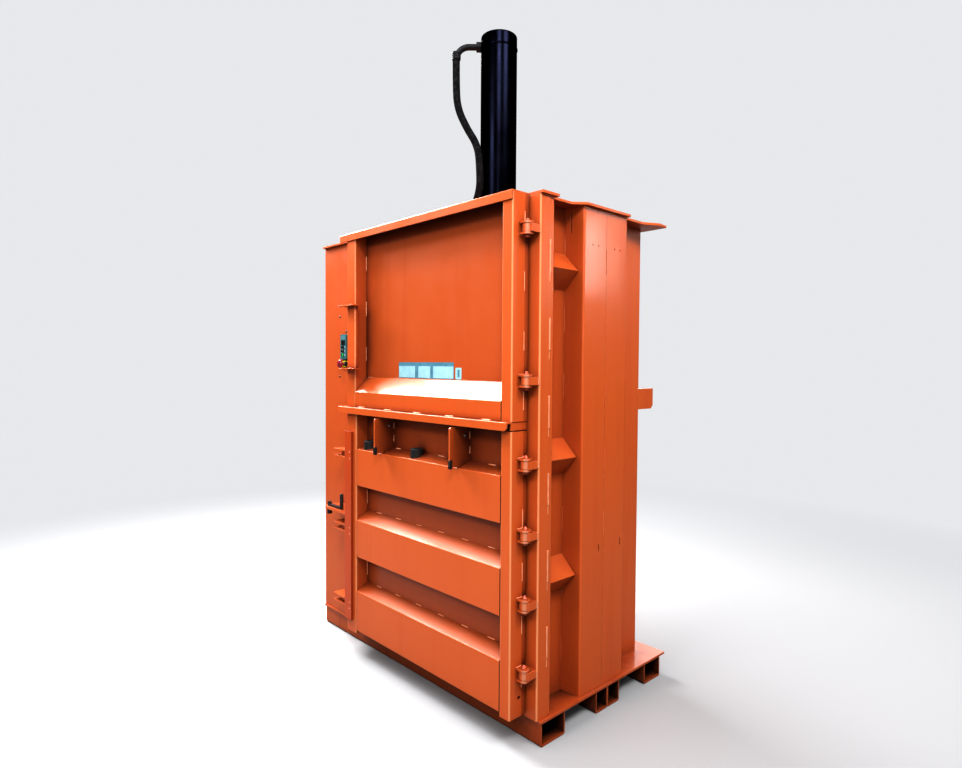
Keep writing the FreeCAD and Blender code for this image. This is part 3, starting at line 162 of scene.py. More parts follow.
soft_light("overhead", (0.2, -2.1, 5.9), (0.1, -0.45, 1.1), 2.2, 0.7, 124)
soft_light("left_high", (-3.0, -0.36, 3.9), (0.2, -0.45, 0.7), 3.4, 1.8, 640)
soft_light("front", (0.6, -5.0, 4.0), (0.1, -0.4, 0.7), 1.6, 1.0, 98)
soft_light("right_front", (3.5, -3.1, 4.9), (0.6, -0.3, 0.8), 1.4, 1.0, 158)
soft_light("right_high", (3.6, -0.1, 4.6), (0.7, 0.0, 0.9), 1.4, 1.2, 128)
soft_light("right_rear", (4.4, 4.6, 2.9), (0.79, 0.1, 1.8), 0.4, 1.0, 26)
soft_light("rear_left", (-1.3, 4.7, 2.1), (0.85, 0.4, 0.1), 1.6, 0.8, 34)
soft_light("behind_camera", (4.4, -4.6, 2.6), (0.5, -0.3, 1.1), 0.25, 3.0, 55)


# Hydraulic hose: black rubber over steel braid, 34 mm thick. It hangs from the elbow at
# the cylinder's cap, bows in to the barrel and runs over the roof to the cabinet.
def surface_noise(tree, scale, detail=3.0, stretch=(1, 1, 1)):
    """Noise in the piece's own coordinates, stretched along its axes."""
    place = tree.nodes.new("ShaderNodeTexCoord")
    mapping = add_node(tree, "ShaderNodeMapping", Vector=place.outputs["Object"])
    mapping.inputs["Scale"].default_value = stretch
    noise = add_node(tree, "ShaderNodeTexNoise", Vector=mapping.outputs["Vector"], Scale=scale,
                     Detail=detail, Roughness=0.55)
    return noise.outputs["Fac"]


def bump(tree, height, strength, distance, normal=None):
    """A bump from a height."""
    node = add_node(tree, "ShaderNodeBump", Height=height, Strength=strength, Distance=distance)
    if normal is not None:
        tree.links.new(normal, node.inputs["Normal"])
    return node.outputs["Normal"]


hose_rubber, tree, shader = new_material("hose_rubber", (0.012, 0.012, 0.013), 0.5)
shader.inputs["Specular IOR Level"].default_value = 0.0
scuffs = surface_noise(tree, 60, 5)
tree.links.new(blend_colour(tree, ramp(tree, scuffs, 0.45, 0.75), (0.010, 0.010, 0.011),
                            (0.030, 0.030, 0.032)), shader.inputs["Base Color"])
tree.links.new(ramp(tree, scuffs, 0.3, 0.7, 0.38, 0.62), shader.inputs["Roughness"])
tree.links.new(bump(tree, surface_noise(tree, 500, 2), 0.25, 0.0006), shader.inputs["Normal"])

barrel_low, barrel_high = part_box("cylinder_barrel")
ram_x = (barrel_low.x + barrel_high.x) / 2
ram_y = (barrel_low.y + barrel_high.y) / 2
hose_turn = math.radians(226.8)
# sideways from the cylinder's axis, forward of it, and the height
hose_near = [(0.202, 0, 2.873), (0.202, 0, 2.765), (0.196, 0.005, 2.650), (0.152, 0.026, 2.548),
             (0.096, 0.054, 2.452), (0.087, 0.064, 2.340), (0.086, 0.063, 2.245), (0.124, 0.023, 2.148)]
# from the right ends of the base tubes and the front of the front one, over the roof
hose_roof = [(-0.788, 0.263, 2.094), (-0.905, 0.267, 2.088), (-1.020, 0.274, 2.0876),
             (-1.130, 0.279, 2.090), (-1.240, 0.281, 2.096)]
tube_low, tube_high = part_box("base_tube_front")
hose_points = [Vector((ram_x + a * math.cos(hose_turn) - b * math.sin(hose_turn),
                       ram_y + a * math.sin(hose_turn) + b * math.cos(hose_turn), z))
               for a, b, z in hose_near]
hose_points += [Vector((tube_high.x + x, tube_low.y + y, z)) for x, y, z in hose_roof]
hose_line = bpy.data.curves.new("hydraulic_hose_cover", "CURVE")
hose_line.dimensions = "3D"
hose_spline = hose_line.splines.new("NURBS")
hose_spline.points.add(len(hose_points) - 1)
for point, place in zip(hose_spline.points, hose_points):
    point.co = (*place, 1)
hose_spline.order_u = 3
hose_spline.use_endpoint_u = True
hose_spline.resolution_u = 24
hose_line.bevel_depth = 0.017
hose_line.bevel_resolution = 6
hose_line.use_fill_caps = True
hose_line.materials.append(hose_rubber)
hose = bpy.data.objects.new("hydraulic_hose_cover", hose_line)
bpy.context.scene.collection.objects.link(hose)
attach(hose, "frame")
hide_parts("hydraulic_hose")


# The frame's paint: one coat of semi-gloss orange sprayed over blasted steel. It has a
# faint orange peel and is darker in its streaks. Its edges are pale, partly rubbed and
# partly a painted highlight; a painted highlight runs along its bends, and painted shade
# darkens its crevices and hollows.
def build_coat_group():
    group = bpy.data.node_groups.new("sprayed_coat", "ShaderNodeTree")
    for name, kind, value in (("Paint", "NodeSocketColor", (0.8, 0.1, 0.02, 1)),
                              ("Shade", "NodeSocketColor", (0.5, 0.05, 0.01, 1)),
                              ("Rubbed And Highlight", "NodeSocketColor", (0.9, 0.4, 0.2, 1)),
                              ("Edge Wear And Highlight", "NodeSocketFloat", 0.5),
                              ("Streaks", "NodeSocketFloat", 0.4),
                              ("Crevice Shade", "NodeSocketFloat", 0.6),
                              ("Bend Highlight", "NodeSocketFloat", 0.0),
                              ("Hollow Shade", "NodeSocketFloat", 0.0),
                              ("Gloss", "NodeSocketFloat", 0.34)):
        socket = group.interface.new_socket(name, in_out="INPUT", socket_type=kind)
        socket.default_value = value
    for name, kind in (("Color", "NodeSocketColor"), ("Roughness", "NodeSocketFloat"),
                       ("Normal", "NodeSocketVector")):
        group.interface.new_socket(name, in_out="OUTPUT", socket_type=kind)
    given = group.nodes.new("NodeGroupInput").outputs
    result = group.nodes.new("NodeGroupOutput").inputs

    def product(one, two):
        node = add_node(group, "ShaderNodeMath", {"operation": "MULTIPLY"})
        for socket, value in zip(node.inputs, (one, two)):
            if isinstance(value, bpy.types.NodeSocket):
                group.links.new(value, socket)
            else:
                socket.default_value = value
        return node.outputs[0]

    cloud = ramp(group, surface_noise(group, 1.7, 4), 0.35, 0.7)
    streak = ramp(group, surface_noise(group, 1.0, 5, (16, 16, 0.9)), 0.5, 0.78)
    tone = product(ramp(group, cloud, 0, 1, 0.15, 0.55), given["Streaks"])
    colour = blend_colour(group, tone, given["Paint"], given["Shade"])
    colour = blend_colour(group, product(streak, given["Streaks"]), colour, given["Shade"])

    # the edges go towards the pale colour: partly rubbed paint, partly a painted highlight
    rounded = add_node(group, "ShaderNodeBevel", {"samples": 4}, Radius=0.0022)
    geometry = group.nodes.new("ShaderNodeNewGeometry")
    turn = add_node(group, "ShaderNodeVectorMath", {"operation": "DOT_PRODUCT"})
    group.links.new(rounded.outputs["Normal"], turn.inputs[0])
    group.links.new(geometry.outputs["Normal"], turn.inputs[1])
    edge = ramp(group, turn.outputs["Value"], 0.985, 0.86)
    chips = ramp(group, surface_noise(group, 26, 6), 0.40, 0.62)
    worn_and_lit_edges = product(product(edge, chips), given["Edge Wear And Highlight"])
    colour = blend_colour(group, worn_and_lit_edges, colour, given["Rubbed And Highlight"])
    # painted highlight: faces that turn between front and side, as on bends, go towards the pale colour
    place = group.nodes.new("ShaderNodeTexCoord")
    facing = group.nodes.new("ShaderNodeSeparateXYZ")
    group.links.new(place.outputs["Normal"], facing.inputs[0])
    slant = product(facing.outputs["X"], facing.outputs["Y"])
    bend_highlight = product(ramp(group, product(slant, slant), 0.03, 0.16), given["Bend Highlight"])
    colour = blend_colour(group, bend_highlight, colour, given["Rubbed And Highlight"])
    # painted shade: ambient occlusion darkens corners, creases and recesses towards a deep red-brown
    corner = add_node(group, "ShaderNodeAmbientOcclusion", {"samples": 8}, Distance=0.22)
    shade_in_crevices = product(ramp(group, corner.outputs["AO"], 0.9, 0.4), given["Crevice Shade"])
    colour = blend_colour(group, shade_in_crevices, colour, (0.06, 0.006, 0.002))
    # painted shade: the deepest hollows, such as the tubes' insides, go near black
    shade_in_hollows = product(ramp(group, corner.outputs["AO"], 0.46, 0.30), given["Hollow Shade"])
    colour = blend_colour(group, shade_in_hollows, colour, (0.004, 0.002, 0.001))
    group.links.new(colour, result["Color"])

    patches = ramp(group, surface_noise(group, 9, 5), 0.3, 0.7, -0.05, 0.08)
    gloss = add_node(group, "ShaderNodeMath", {"operation": "ADD"})
    group.links.new(given["Gloss"], gloss.inputs[0])
    group.links.new(patches, gloss.inputs[1])
    group.links.new(gloss.outputs[0], result["Roughness"])

    plate = bump(group, surface_noise(group, 3.0, 2), 0.12, 0.006, rounded.outputs["Normal"])
    peel = bump(group, surface_noise(group, 380, 2), 0.10, 0.0006, plate)
    group.links.new(peel, result["Normal"])
    return group


coat_group = build_coat_group()


def coated(name, paint, shade, rubbed_and_highlight, wear_and_highlight=0.5, streaks=0.25, gloss=0.36, coat=0.3,
           crevice_shade=0.6, shine=0.4, bend_highlight=0.0, hollow_shade=0.0):
    """A painted steel material with its own amounts of wear, painted highlight and painted shade."""
    material, tree, shader = new_material(name, paint, gloss)
    group = tree.nodes.new("ShaderNodeGroup")
    group.node_tree = coat_group
    for key, value in (("Paint", (*paint, 1)), ("Shade", (*shade, 1)), ("Rubbed And Highlight", (*rubbed_and_highlight, 1)),
                       ("Edge Wear And Highlight", wear_and_highlight), ("Streaks", streaks), ("Gloss", gloss), ("Crevice Shade", crevice_shade),
                       ("Bend Highlight", bend_highlight), ("Hollow Shade", hollow_shade)):
        group.inputs[key].default_value = value
    tree.links.new(group.outputs["Color"], shader.inputs["Base Color"])
    tree.links.new(group.outputs["Roughness"], shader.inputs["Roughness"])
    tree.links.new(group.outputs["Normal"], shader.inputs["Normal"])
    shader.inputs["Specular IOR Level"].default_value = shine
    shader.inputs["Coat Weight"].default_value = coat
    shader.inputs["Coat Roughness"].default_value = 0.14
    return material


def finish_node(material, *names):
    """Gives CAD nodes their material."""
    for name in names:
        mesh = nodes[name].data
        mesh.materials.clear()
        mesh.materials.append(material)


ORANGE = (0.78, 0.158, 0.032)
DEEP_ORANGE = (0.64, 0.082, 0.012)
PALE_ORANGE = (0.95, 0.42, 0.20)


# Base: four rectangular tubes welded under the floor plate. Their insides are painted near
# black as painted shade, and their edges are pale, partly where pallet trucks wear the paint
# off and partly as a painted highlight.
base_paint = coated("base_paint", ORANGE, (0.45, 0.05, 0.012), (0.80, 0.40, 0.22), 0.7, 0.5, 0.42,
                    crevice_shade=0.45, hollow_shade=1.0)
finish_node(base_paint, "base_tube_front", "base_tubes_middle", "base_tube_rear", "floor_plate")


# Bale chamber: walls, roof and the tubes under the roof, with channels and a beam at the
# back, all welded. They have the frame's paint, a little duller than on the doors.
wall_paint = coated("wall_paint", ORANGE, DEEP_ORANGE, PALE_ORANGE, 0.4, 0.35, 0.38)
finish_node(wall_paint, "right_wall", "left_wall", "rear_wall", "roof_plate", "roof_beams",
            "rear_beam", "rear_channels")


# Front columns, side channels and ribs: folded steel that stands on the floor plate and
# stiffens the chamber, held by long stitch welds under the paint.
side_paint = coated("side_paint", ORANGE, DEEP_ORANGE, PALE_ORANGE, 0.55, 0.3, 0.33, crevice_shade=0.4)
finish_node(side_paint, "side_channels", "side_ribs")
# a painted highlight along the columns' and posts' bends
column_paint = coated("column_paint", ORANGE, DEEP_ORANGE, PALE_ORANGE, 0.55, 0.3, 0.33,
                      crevice_shade=0.4, bend_highlight=0.75)
finish_node(column_paint, "right_column", "right_column_angle", "left_column")

# the weld beads are painted paler than the frame as a painted highlight
weld_paint_with_highlight = coated("weld_paint_with_highlight", (0.95, 0.36, 0.17), (0.86, 0.16, 0.04), (0.98, 0.6, 0.45), 0.9, 0.3,
                    0.2, 0.5, crevice_shade=0.0)


def model_stitch(length, leg):
    """One short weld along +X from the origin: ripples of overlapping flat drops."""
    bpy.ops.object.select_all(action="DESELECT")
    bpy.ops.mesh.primitive_uv_sphere_add(segments=8, ring_count=5, radius=leg)
    drop = bpy.context.object
    drop.scale = (0.75, 1, 0.8)
    bpy.ops.object.transform_apply(scale=True)
    row = drop.modifiers.new("row", "ARRAY")
    row.use_relative_offset = False
    row.use_constant_offset = True
    row.constant_offset_displace = (leg * 0.7, 0, 0)
    row.count = max(3, int(length / (leg * 0.7)))
    bpy.ops.object.modifier_apply(modifier="row")
    bpy.ops.object.shade_smooth()
    return drop


def weld(name, body, seams, length=0.06, pitch=0.25, leg=0.0035, paint=weld_paint_with_highlight):
    """Stitch welds along straight seams, each a (start, end), joined into one piece."""
    model = model_stitch(length, leg)
    copies = []
    for start, end in seams:
        start, end = Vector(start), Vector(end)
        along = (end - start).normalized()
        span = (end - start).length
        count = max(1, int((span - length) / pitch) + 1)
        slack = span - length - (count - 1) * pitch
        for step in range(count):
            stitch = model.copy()
            stitch.data = model.data.copy()
            bpy.context.scene.collection.objects.link(stitch)
            stitch.rotation_euler = along.to_track_quat("X", "Z").to_euler()
            stitch.location = start + along * (slack / 2 + step * pitch)
            copies.append(stitch)
    bpy.data.objects.remove(model)
    bpy.ops.object.select_all(action="DESELECT")
    for stitch in copies:
        stitch.select_set(True)
    bpy.context.view_layer.objects.active = copies[0]
    bpy.ops.object.join()
    bpy.ops.object.transform_apply(location=True, rotation=True, scale=True)
    piece = bpy.context.object
    piece.name = name
    piece.data.materials.append(paint)
    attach(piece, body)
    return piece


angle_low, angle_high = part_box("right_column_angle")
column_low, column_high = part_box("right_column")
wall_low, wall_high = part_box("right_wall")
channel_low, channel_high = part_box("side_channels")
bottom = column_low.z + 0.05
top = column_high.z - 0.05
seam_place = tube_low.y + 0.3885  # where the two channels' flanges meet
weld("column_welds", "frame", [
    ((angle_high.x, angle_low.y, bottom), (angle_high.x, angle_low.y, top)),
    ((wall_high.x, wall_low.y, bottom), (wall_high.x, wall_low.y, top)),
    ((column_high.x, column_high.y, bottom + 0.07), (column_high.x, column_high.y, top)),
], 0.12, 0.29, 0.0050)
weld("channel_welds", "frame", [
    ((channel_high.x, seam_place, bottom + 0.2), (channel_high.x, seam_place, top)),
    ((wall_high.x, channel_low.y, bottom), (wall_high.x, channel_low.y, top)),
    ((wall_high.x, channel_high.y, bottom), (wall_high.x, channel_high.y, top)),
], 0.10, 0.27, 0.0030, side_paint)


# Cabinet: one folded steel sheet that holds the drive, welded to the chamber's left side
# and painted with it. A louvred cover on ten screws closes it.
DULL_ORANGE = (0.65, 0.130, 0.027)
# a painted highlight along the cabinet's bends
cabinet_paint = coated("cabinet_paint", DULL_ORANGE, DEEP_ORANGE, PALE_ORANGE, 0.35, 0.25, 0.36,
                       bend_highlight=0.6)
finish_node(cabinet_paint, "cabinet_shell", "cabinet_cover")


def brushed(name, colour, roughness, scale=90, stretch=(1, 1, 12)):
    """Bare or plated metal with fine marks along one axis."""
    material, tree, shader = new_material(name, colour, roughness, 1.0)
    marks = surface_noise(tree, scale, 4, stretch)
    dull = tuple(part * 0.6 for part in colour)
    tree.links.new(blend_colour(tree, ramp(tree, marks, 0.35, 0.75), colour, dull),
                   shader.inputs["Base Color"])
    tree.links.new(ramp(tree, marks, 0.3, 0.7, roughness - 0.08, roughness + 0.14),
                   shader.inputs["Roughness"])
    rounded = add_node(tree, "ShaderNodeBevel", {"samples": 4}, Radius=0.0008)
    tree.links.new(bump(tree, marks, 0.15, 0.0004, rounded.outputs["Normal"]), shader.inputs["Normal"])
    return material


dark_screw = brushed("dark_screw", (0.10, 0.10, 0.11), 0.42)


def turned(name, profile, place, axis, material, steps=32):
    """A round piece: one point drawn along a profile of (radius, height), then spun."""
    bpy.ops.object.select_all(action="DESELECT")
    bpy.ops.mesh.primitive_plane_add(size=0.001)
    piece = bpy.context.object
    bpy.ops.object.mode_set(mode="EDIT")
    bpy.ops.mesh.merge(type="CENTER")
    bpy.ops.transform.translate(value=(profile[0][0], 0, profile[0][1]))
    for before, after in zip(profile, profile[1:]):
        step = (after[0] - before[0], 0, after[1] - before[1])
        bpy.ops.mesh.extrude_region_move(TRANSFORM_OT_translate={"value": step})
    bpy.ops.mesh.select_all(action="SELECT")
    bpy.ops.mesh.spin(steps=steps, angle=2 * math.pi, center=(0, 0, 0), axis=(0, 0, 1))
    bpy.ops.mesh.select_all(action="SELECT")
    bpy.ops.mesh.remove_doubles(threshold=0.00002)
    bpy.ops.mesh.normals_make_consistent(inside=False)
    bpy.ops.object.mode_set(mode="OBJECT")
    bpy.ops.object.shade_smooth_by_angle(angle=math.radians(35))
    piece.rotation_euler = Vector(axis).to_track_quat("Z", "Y").to_euler()
    piece.location = place
    bpy.ops.object.transform_apply(location=True, rotation=True, scale=True)
    piece.name = name
    piece.data.materials.append(material)
    return piece


def join(name, pieces, body):
    """Joins like pieces into one that rides on a body."""
    bpy.ops.object.select_all(action="DESELECT")
    for piece in pieces:
        piece.select_set(True)
    bpy.context.view_layer.objects.active = pieces[0]
    if len(pieces) > 1:
        bpy.ops.object.join()
    pieces[0].name = name
    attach(pieces[0], body)
    return pieces[0]


SCREW = [(0, 0.0030), (0.0018, 0.0030), (0.0022, 0.0022), (0.0034, 0.0026), (0.0050, 0.0018),
         (0.0062, 0.0004), (0.0062, -0.0005), (0, -0.0005)]
CONTROL_SCREWS = ((-0.643, 1.684), (-0.577, 1.603), (-0.643, 1.366))
cabinet_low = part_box("cabinet_shell")[0]
cover_low, cover_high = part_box("cabinet_cover")
screws = []
for y in (cover_low.y + 0.012, (cover_low.y + cover_high.y) / 2, cover_high.y - 0.012):
    for z in (cover_low.z + 0.012, cover_high.z - 0.012):
        screws.append(turned("screw", SCREW, (cover_low.x, y, z), (-1, 0, 0), dark_screw, 16))
for y in (cover_low.y + 0.012, cover_high.y - 0.012):
    for share in (1 / 3, 2 / 3):
        z = cover_low.z + share * (cover_high.z - cover_low.z)
        screws.append(turned("screw", SCREW, (cover_low.x, y, z), (-1, 0, 0), dark_screw, 16))
for x, z in CONTROL_SCREWS:
    screws.append(turned("screw", SCREW, (x, cabinet_low.y, z), (0, -1, 0), dark_screw, 16))
join("cabinet_screws", screws, "frame")


# Control panel: a moulded teal block with a dark display, two black travel buttons and a
# green start button, each between two printed fields.
def plastic(name, colour, roughness, grain=900, edge=0.0012):
    """Moulded plastic with a fine spark-eroded grain."""
    material, tree, shader = new_material(name, colour, roughness)
    grain_height = surface_noise(tree, grain, 2)
    wiped = surface_noise(tree, 45, 4)
    light = tuple(min(1, part * 1.25 + 0.01) for part in colour)
    tree.links.new(blend_colour(tree, ramp(tree, wiped, 0.4, 0.75), colour, light),
                   shader.inputs["Base Color"])
    tree.links.new(ramp(tree, wiped, 0.3, 0.7, roughness - 0.06, roughness + 0.08),
                   shader.inputs["Roughness"])
    rounded = add_node(tree, "ShaderNodeBevel", {"samples": 4}, Radius=edge)
    tree.links.new(bump(tree, grain_height, 0.12, 0.0003, rounded.outputs["Normal"]),
                   shader.inputs["Normal"])
    return material


def rounded_plate(name, low, high, across, corner, material, rim=0.0004):
    """A flat block whose corners, seen along one axis, are round."""
    low, high = Vector(low), Vector(high)
    bpy.ops.object.select_all(action="DESELECT")
    bpy.ops.mesh.primitive_cube_add(size=1, location=(low + high) / 2, scale=high - low)
    piece = bpy.context.object
    bpy.ops.object.transform_apply(location=True, rotation=True, scale=True)
    bpy.ops.object.mode_set(mode="EDIT")
    bpy.ops.mesh.select_all(action="DESELECT")
    mesh = bmesh.from_edit_mesh(piece.data)
    for edge in mesh.edges:
        run = edge.verts[1].co - edge.verts[0].co
        edge.select_set(abs(run["XYZ".index(across)]) > 0.99 * run.length)
    bmesh.update_edit_mesh(piece.data)
    bpy.ops.mesh.bevel(offset=corner, segments=4, affect="EDGES")
    bpy.ops.object.mode_set(mode="OBJECT")
    soften = piece.modifiers.new("rim", "BEVEL")
    soften.width = rim
    soften.segments = 2
    soften.limit_method = "ANGLE"
    soften.angle_limit = math.radians(50)
    bpy.ops.object.modifier_apply(modifier="rim")
    bpy.ops.object.shade_smooth_by_angle(angle=math.radians(35))
    flatten = piece.modifiers.new("flatten", "WEIGHTED_NORMAL")
    flatten.keep_sharp = True
    bpy.ops.object.modifier_apply(modifier="flatten")
    piece.name = name
    piece.data.materials.append(material)
    return piece


panel_teal = plastic("panel_teal", (0.045, 0.20, 0.23), 0.42)
button_black = plastic("button_black", (0.012, 0.012, 0.013), 0.36)
button_green = plastic("button_green", (0.02, 0.42, 0.08), 0.28)
finish_node(panel_teal, "control_panel")
finish_node(button_black, "up_button", "down_button")
finish_node(button_green, "start_button")

display_glass, tree, shader = new_material("display_glass", (0.008, 0.012, 0.014), 0.08)
shader.inputs["Coat Weight"].default_value = 0.6
haze = surface_noise(tree, 60, 3)
tree.links.new(blend_colour(tree, ramp(tree, haze, 0.5, 0.7), (0.006, 0.010, 0.012),
                            (0.010, 0.018, 0.020)), shader.inputs["Base Color"])
PRINT_EDGE = 0.00003
print_pale = plastic("print_pale", (0.30, 0.46, 0.48), 0.5, edge=PRINT_EDGE)
header_teal = plastic("header_teal", (0.08, 0.24, 0.28), 0.7, edge=PRINT_EDGE)

panel_low, panel_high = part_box("control_panel")
face = panel_low.y
middle = (panel_low.x + panel_high.x) / 2
panel_pieces = [rounded_plate("display", (panel_low.x + 0.007, face - 0.0008, panel_high.z - 0.0555),
                              (panel_high.x - 0.007, face, panel_high.z - 0.0300), "Y", 0.003,
                              display_glass),
                rounded_plate("header", (panel_low.x + 0.007, face - 0.0003, panel_high.z - 0.0255),
                              (panel_high.x - 0.007, face, panel_high.z - 0.0060), "Y", 0.002,
                              header_teal, 0.0001)]
RING = [(0.0084, 0), (0.0084, 0.0010), (0.0091, 0.0014), (0.0098, 0.0010), (0.0098, 0)]
for button in ("up_button", "down_button", "start_button"):
    low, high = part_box(button)
    centre = (low.z + high.z) / 2
    panel_pieces.append(turned("ring", RING, (middle, face, centre), (0, -1, 0), button_black))
    for side in (-1, 1):
        x = middle + side * 0.018
        panel_pieces.append(rounded_plate("field", (x - 0.005, face - 0.0003, centre - 0.006),
                                          (x + 0.005, face, centre + 0.006), "Y", 0.0015,
                                          print_pale if side > 0 else display_glass, 0.0001))
join("panel_details", panel_pieces, "frame")


# Emergency stop and selector: a red moulded mushroom and a black winged knob, each in a
# yellow collar that is clamped to the cabinet's front.
stop_red = plastic("stop_red", (0.26, 0.014, 0.035), 0.25)
collar_yellow = plastic("collar_yellow", (0.72, 0.72, 0.02), 0.35)
finish_node(button_black, "selector_switch")

stop_low, stop_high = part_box("emergency_stop")
stop_x = (stop_low.x + stop_high.x) / 2
stop_z = (stop_low.z + stop_high.z) / 2
MUSHROOM = [(0, 0.0130), (0.0088, 0.0124), (0.0154, 0.0106), (0.0194, 0.0076), (0.0216, 0.0036),
            (0.0218, 0.0010), (0.0207, 0.0002), (0.0132, 0), (0.0078, -0.0020), (0.0078, -0.0275),
            (0, -0.0275)]
mushroom = turned("emergency_stop_cap", MUSHROOM, (stop_x, stop_low.y + 0.013, stop_z), (0, -1, 0),
                  stop_red, 48)
join("emergency_stop_cap", [mushroom], "stop_button")
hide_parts("emergency_stop")

switch_low, switch_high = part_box("selector_switch")
switch_x = (switch_low.x + switch_high.x) / 2
COLLAR = [(0.0084, 0.0002), (0.0084, 0.0078), (0.0140, 0.0078), (0.0152, 0.0068), (0.0168, 0.0068),
          (0.0180, 0.0058), (0.0190, 0.0040), (0.0190, 0.0002), (0.0084, 0.0002)]
collars = [turned("collar", COLLAR, (x, cabinet_low.y, stop_z), (0, -1, 0), collar_yellow, 40)
           for x in (stop_x, switch_x)]
join("switch_collar_rings", collars, "frame")
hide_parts("switch_collars")
pointer = rounded_plate("selector_pointer",
                        (switch_x - 0.0008, switch_low.y - 0.0002, stop_z + 0.002),
                        (switch_x + 0.0008, switch_low.y + 0.0006, stop_z + 0.0095), "Y", 0.0004,
                        print_pale, 0.0001)
join("selector_pointer", [pointer], "selector")


# Drive in the cabinet: the welded oil tank and the pump set that stands on it, both
# sprayed in dark grey enamel.
drive_grey = coated("drive_grey", (0.15, 0.16, 0.17), (0.08, 0.085, 0.09), (0.4, 0.4, 0.4), 0.5, 0.4, 0.4,
                    crevice_shade=0.0)
finish_node(drive_grey, "oil_tank", "hydraulic_pump")


# Cylinder: a thick tube painted black, welded to its cap and held in a bolted flange; the
# chromed rod comes out of it through the gland.
cylinder_black = coated("cylinder_black", (0.0035, 0.004, 0.009), (0.002, 0.002, 0.005),
                        (0.05, 0.05, 0.055), 0.4, 0.5, 0.20, 0.0, 0.0)
# a dark gloss with no bright rim, since the lamps would draw a white edge on the black
shader = cylinder_black.node_tree.nodes["Principled BSDF"]
shader.inputs["Metallic"].default_value = 1.0
shader.inputs["Specular Tint"].default_value = (0, 0, 0, 1)
finish_node(cylinder_black, "cylinder_barrel", "cylinder_cap")
finish_node(wall_paint, "cylinder_flange")
machined = brushed("machined_steel", (0.52, 0.52, 0.53), 0.34, 60, (1, 1, 20))
chrome = brushed("rod_chrome", (0.80, 0.80, 0.82), 0.12, 40, (1, 1, 0.2))
finish_node(machined, "cylinder_gland", "piston")
finish_node(chrome, "piston_rod")

cap_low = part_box("cylinder_cap")[0]
barrel_radius = (barrel_high.x - barrel_low.x) / 2
BEAD = [(barrel_radius - 0.002, -0.006), (barrel_radius + 0.001, -0.005),
        (barrel_radius + 0.0028, -0.002), (barrel_radius + 0.0028, 0.002),
        (barrel_radius + 0.001, 0.005), (barrel_radius - 0.002, 0.006),
        (barrel_radius - 0.002, -0.006)]
cap_bead = turned("cap_bead", BEAD, (ram_x, ram_y, cap_low.z), (0, 0, 1), cylinder_black, 96)
join("cylinder_cap_bead", [cap_bead], "frame")

flange_low, flange_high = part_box("cylinder_flange")


def hexagon_head(name, place, axis, across, height, material):
    """A hexagon head on its washer, with the corners chamfered."""
    radius = across / math.sqrt(3)
    bpy.ops.object.select_all(action="DESELECT")
    bpy.ops.mesh.primitive_cylinder_add(vertices=6, radius=radius, depth=height,
                                        location=(0, 0, height / 2 + 0.0025))
    head = bpy.context.object
    bpy.ops.object.transform_apply(location=True, rotation=True, scale=True)
    soften = head.modifiers.new("chamfer", "BEVEL")
    soften.width = height * 0.12
    soften.segments = 2
    bpy.ops.object.modifier_apply(modifier="chamfer")
    bpy.ops.object.shade_smooth_by_angle(angle=math.radians(35))
    head.rotation_euler = Vector(axis).to_track_quat("Z", "Y").to_euler()
    head.location = place
    bpy.ops.object.transform_apply(location=True, rotation=True, scale=True)
    head.data.materials.append(material)
    washer_line = [(0, 0.0025), (radius * 1.12, 0.0025), (radius * 1.15, 0.0020),
                   (radius * 1.15, 0), (0, 0)]
    return [head, turned(name, washer_line, place, axis, material, 24)]


bolts = []
flange_radius = (flange_high.x - flange_low.x) / 2
bolt_circle = (flange_radius + barrel_radius) / 2
for step in range(8):
    angle = math.radians(22.5 + 45 * step)
    place = (ram_x + bolt_circle * math.cos(angle), ram_y + bolt_circle * math.sin(angle), flange_high.z)
    bolts += hexagon_head("flange_bolt", place, (0, 0, 1), 0.019, 0.010, machined)
join("flange_bolts", bolts, "frame")


# Platen: a plate and three square tubes welded to it, in the frame's paint and scraped to
# bare steel where it meets the bales.
scraped_paint = coated("scraped_paint", ORANGE, (0.40, 0.06, 0.02), (0.45, 0.42, 0.40), 1.0, 0.8, 0.45)
finish_node(scraped_paint, "platen_plate", "platen_beams")


# Hose fittings: a black steel elbow at the cap, with its ferrule crimped on to the hose,
# and a zinc-plated bulkhead on the roof over the cabinet.
zinc = brushed("fitting_zinc", (0.50, 0.50, 0.48), 0.34, 120, (1, 1, 1))
black_fitting = coated("black_fitting", (0.012, 0.012, 0.014), (0.006, 0.006, 0.008),
                       (0.14, 0.14, 0.15), 0.2, 0.3, 0.5, 0.0, 0.0, 0.2)
finish_node(black_fitting, "hose_elbow")
finish_node(zinc, "hose_bulkhead")
RIDGE = [(0.0196, -0.0025), (0.0212, -0.0015), (0.0212, 0.0015), (0.0196, 0.0025),
         (0.0196, -0.0025)]
crimps = [turned("crimp", RIDGE, hose_points[0] + Vector((0, 0, 0.006 + 0.0075 * step)), (0, 0, 1),
                 black_fitting, 32) for step in range(4)]
join("hose_crimps", crimps, "frame")


# Hinges: bored barrels on lugs welded to the column, ears on the doors, and pins with
# pointed ends dropped through them. All are painted with the frame.
# a painted highlight on the hinge barrels' curves
hinge_paint = coated("hinge_paint", ORANGE, DEEP_ORANGE, (0.75, 0.42, 0.28), 1.0, 0.45, 0.33, bend_highlight=0.5)
pin_paint = coated("pin_paint", (0.72, 0.13, 0.05), DEEP_ORANGE, (0.55, 0.50, 0.46), 1.0, 0.6, 0.3)
finish_node(hinge_paint, "hinge_barrels", "upper_door_hinge_ears", "lower_door_hinge_ears")
finish_node(pin_paint, "hinge_pins")

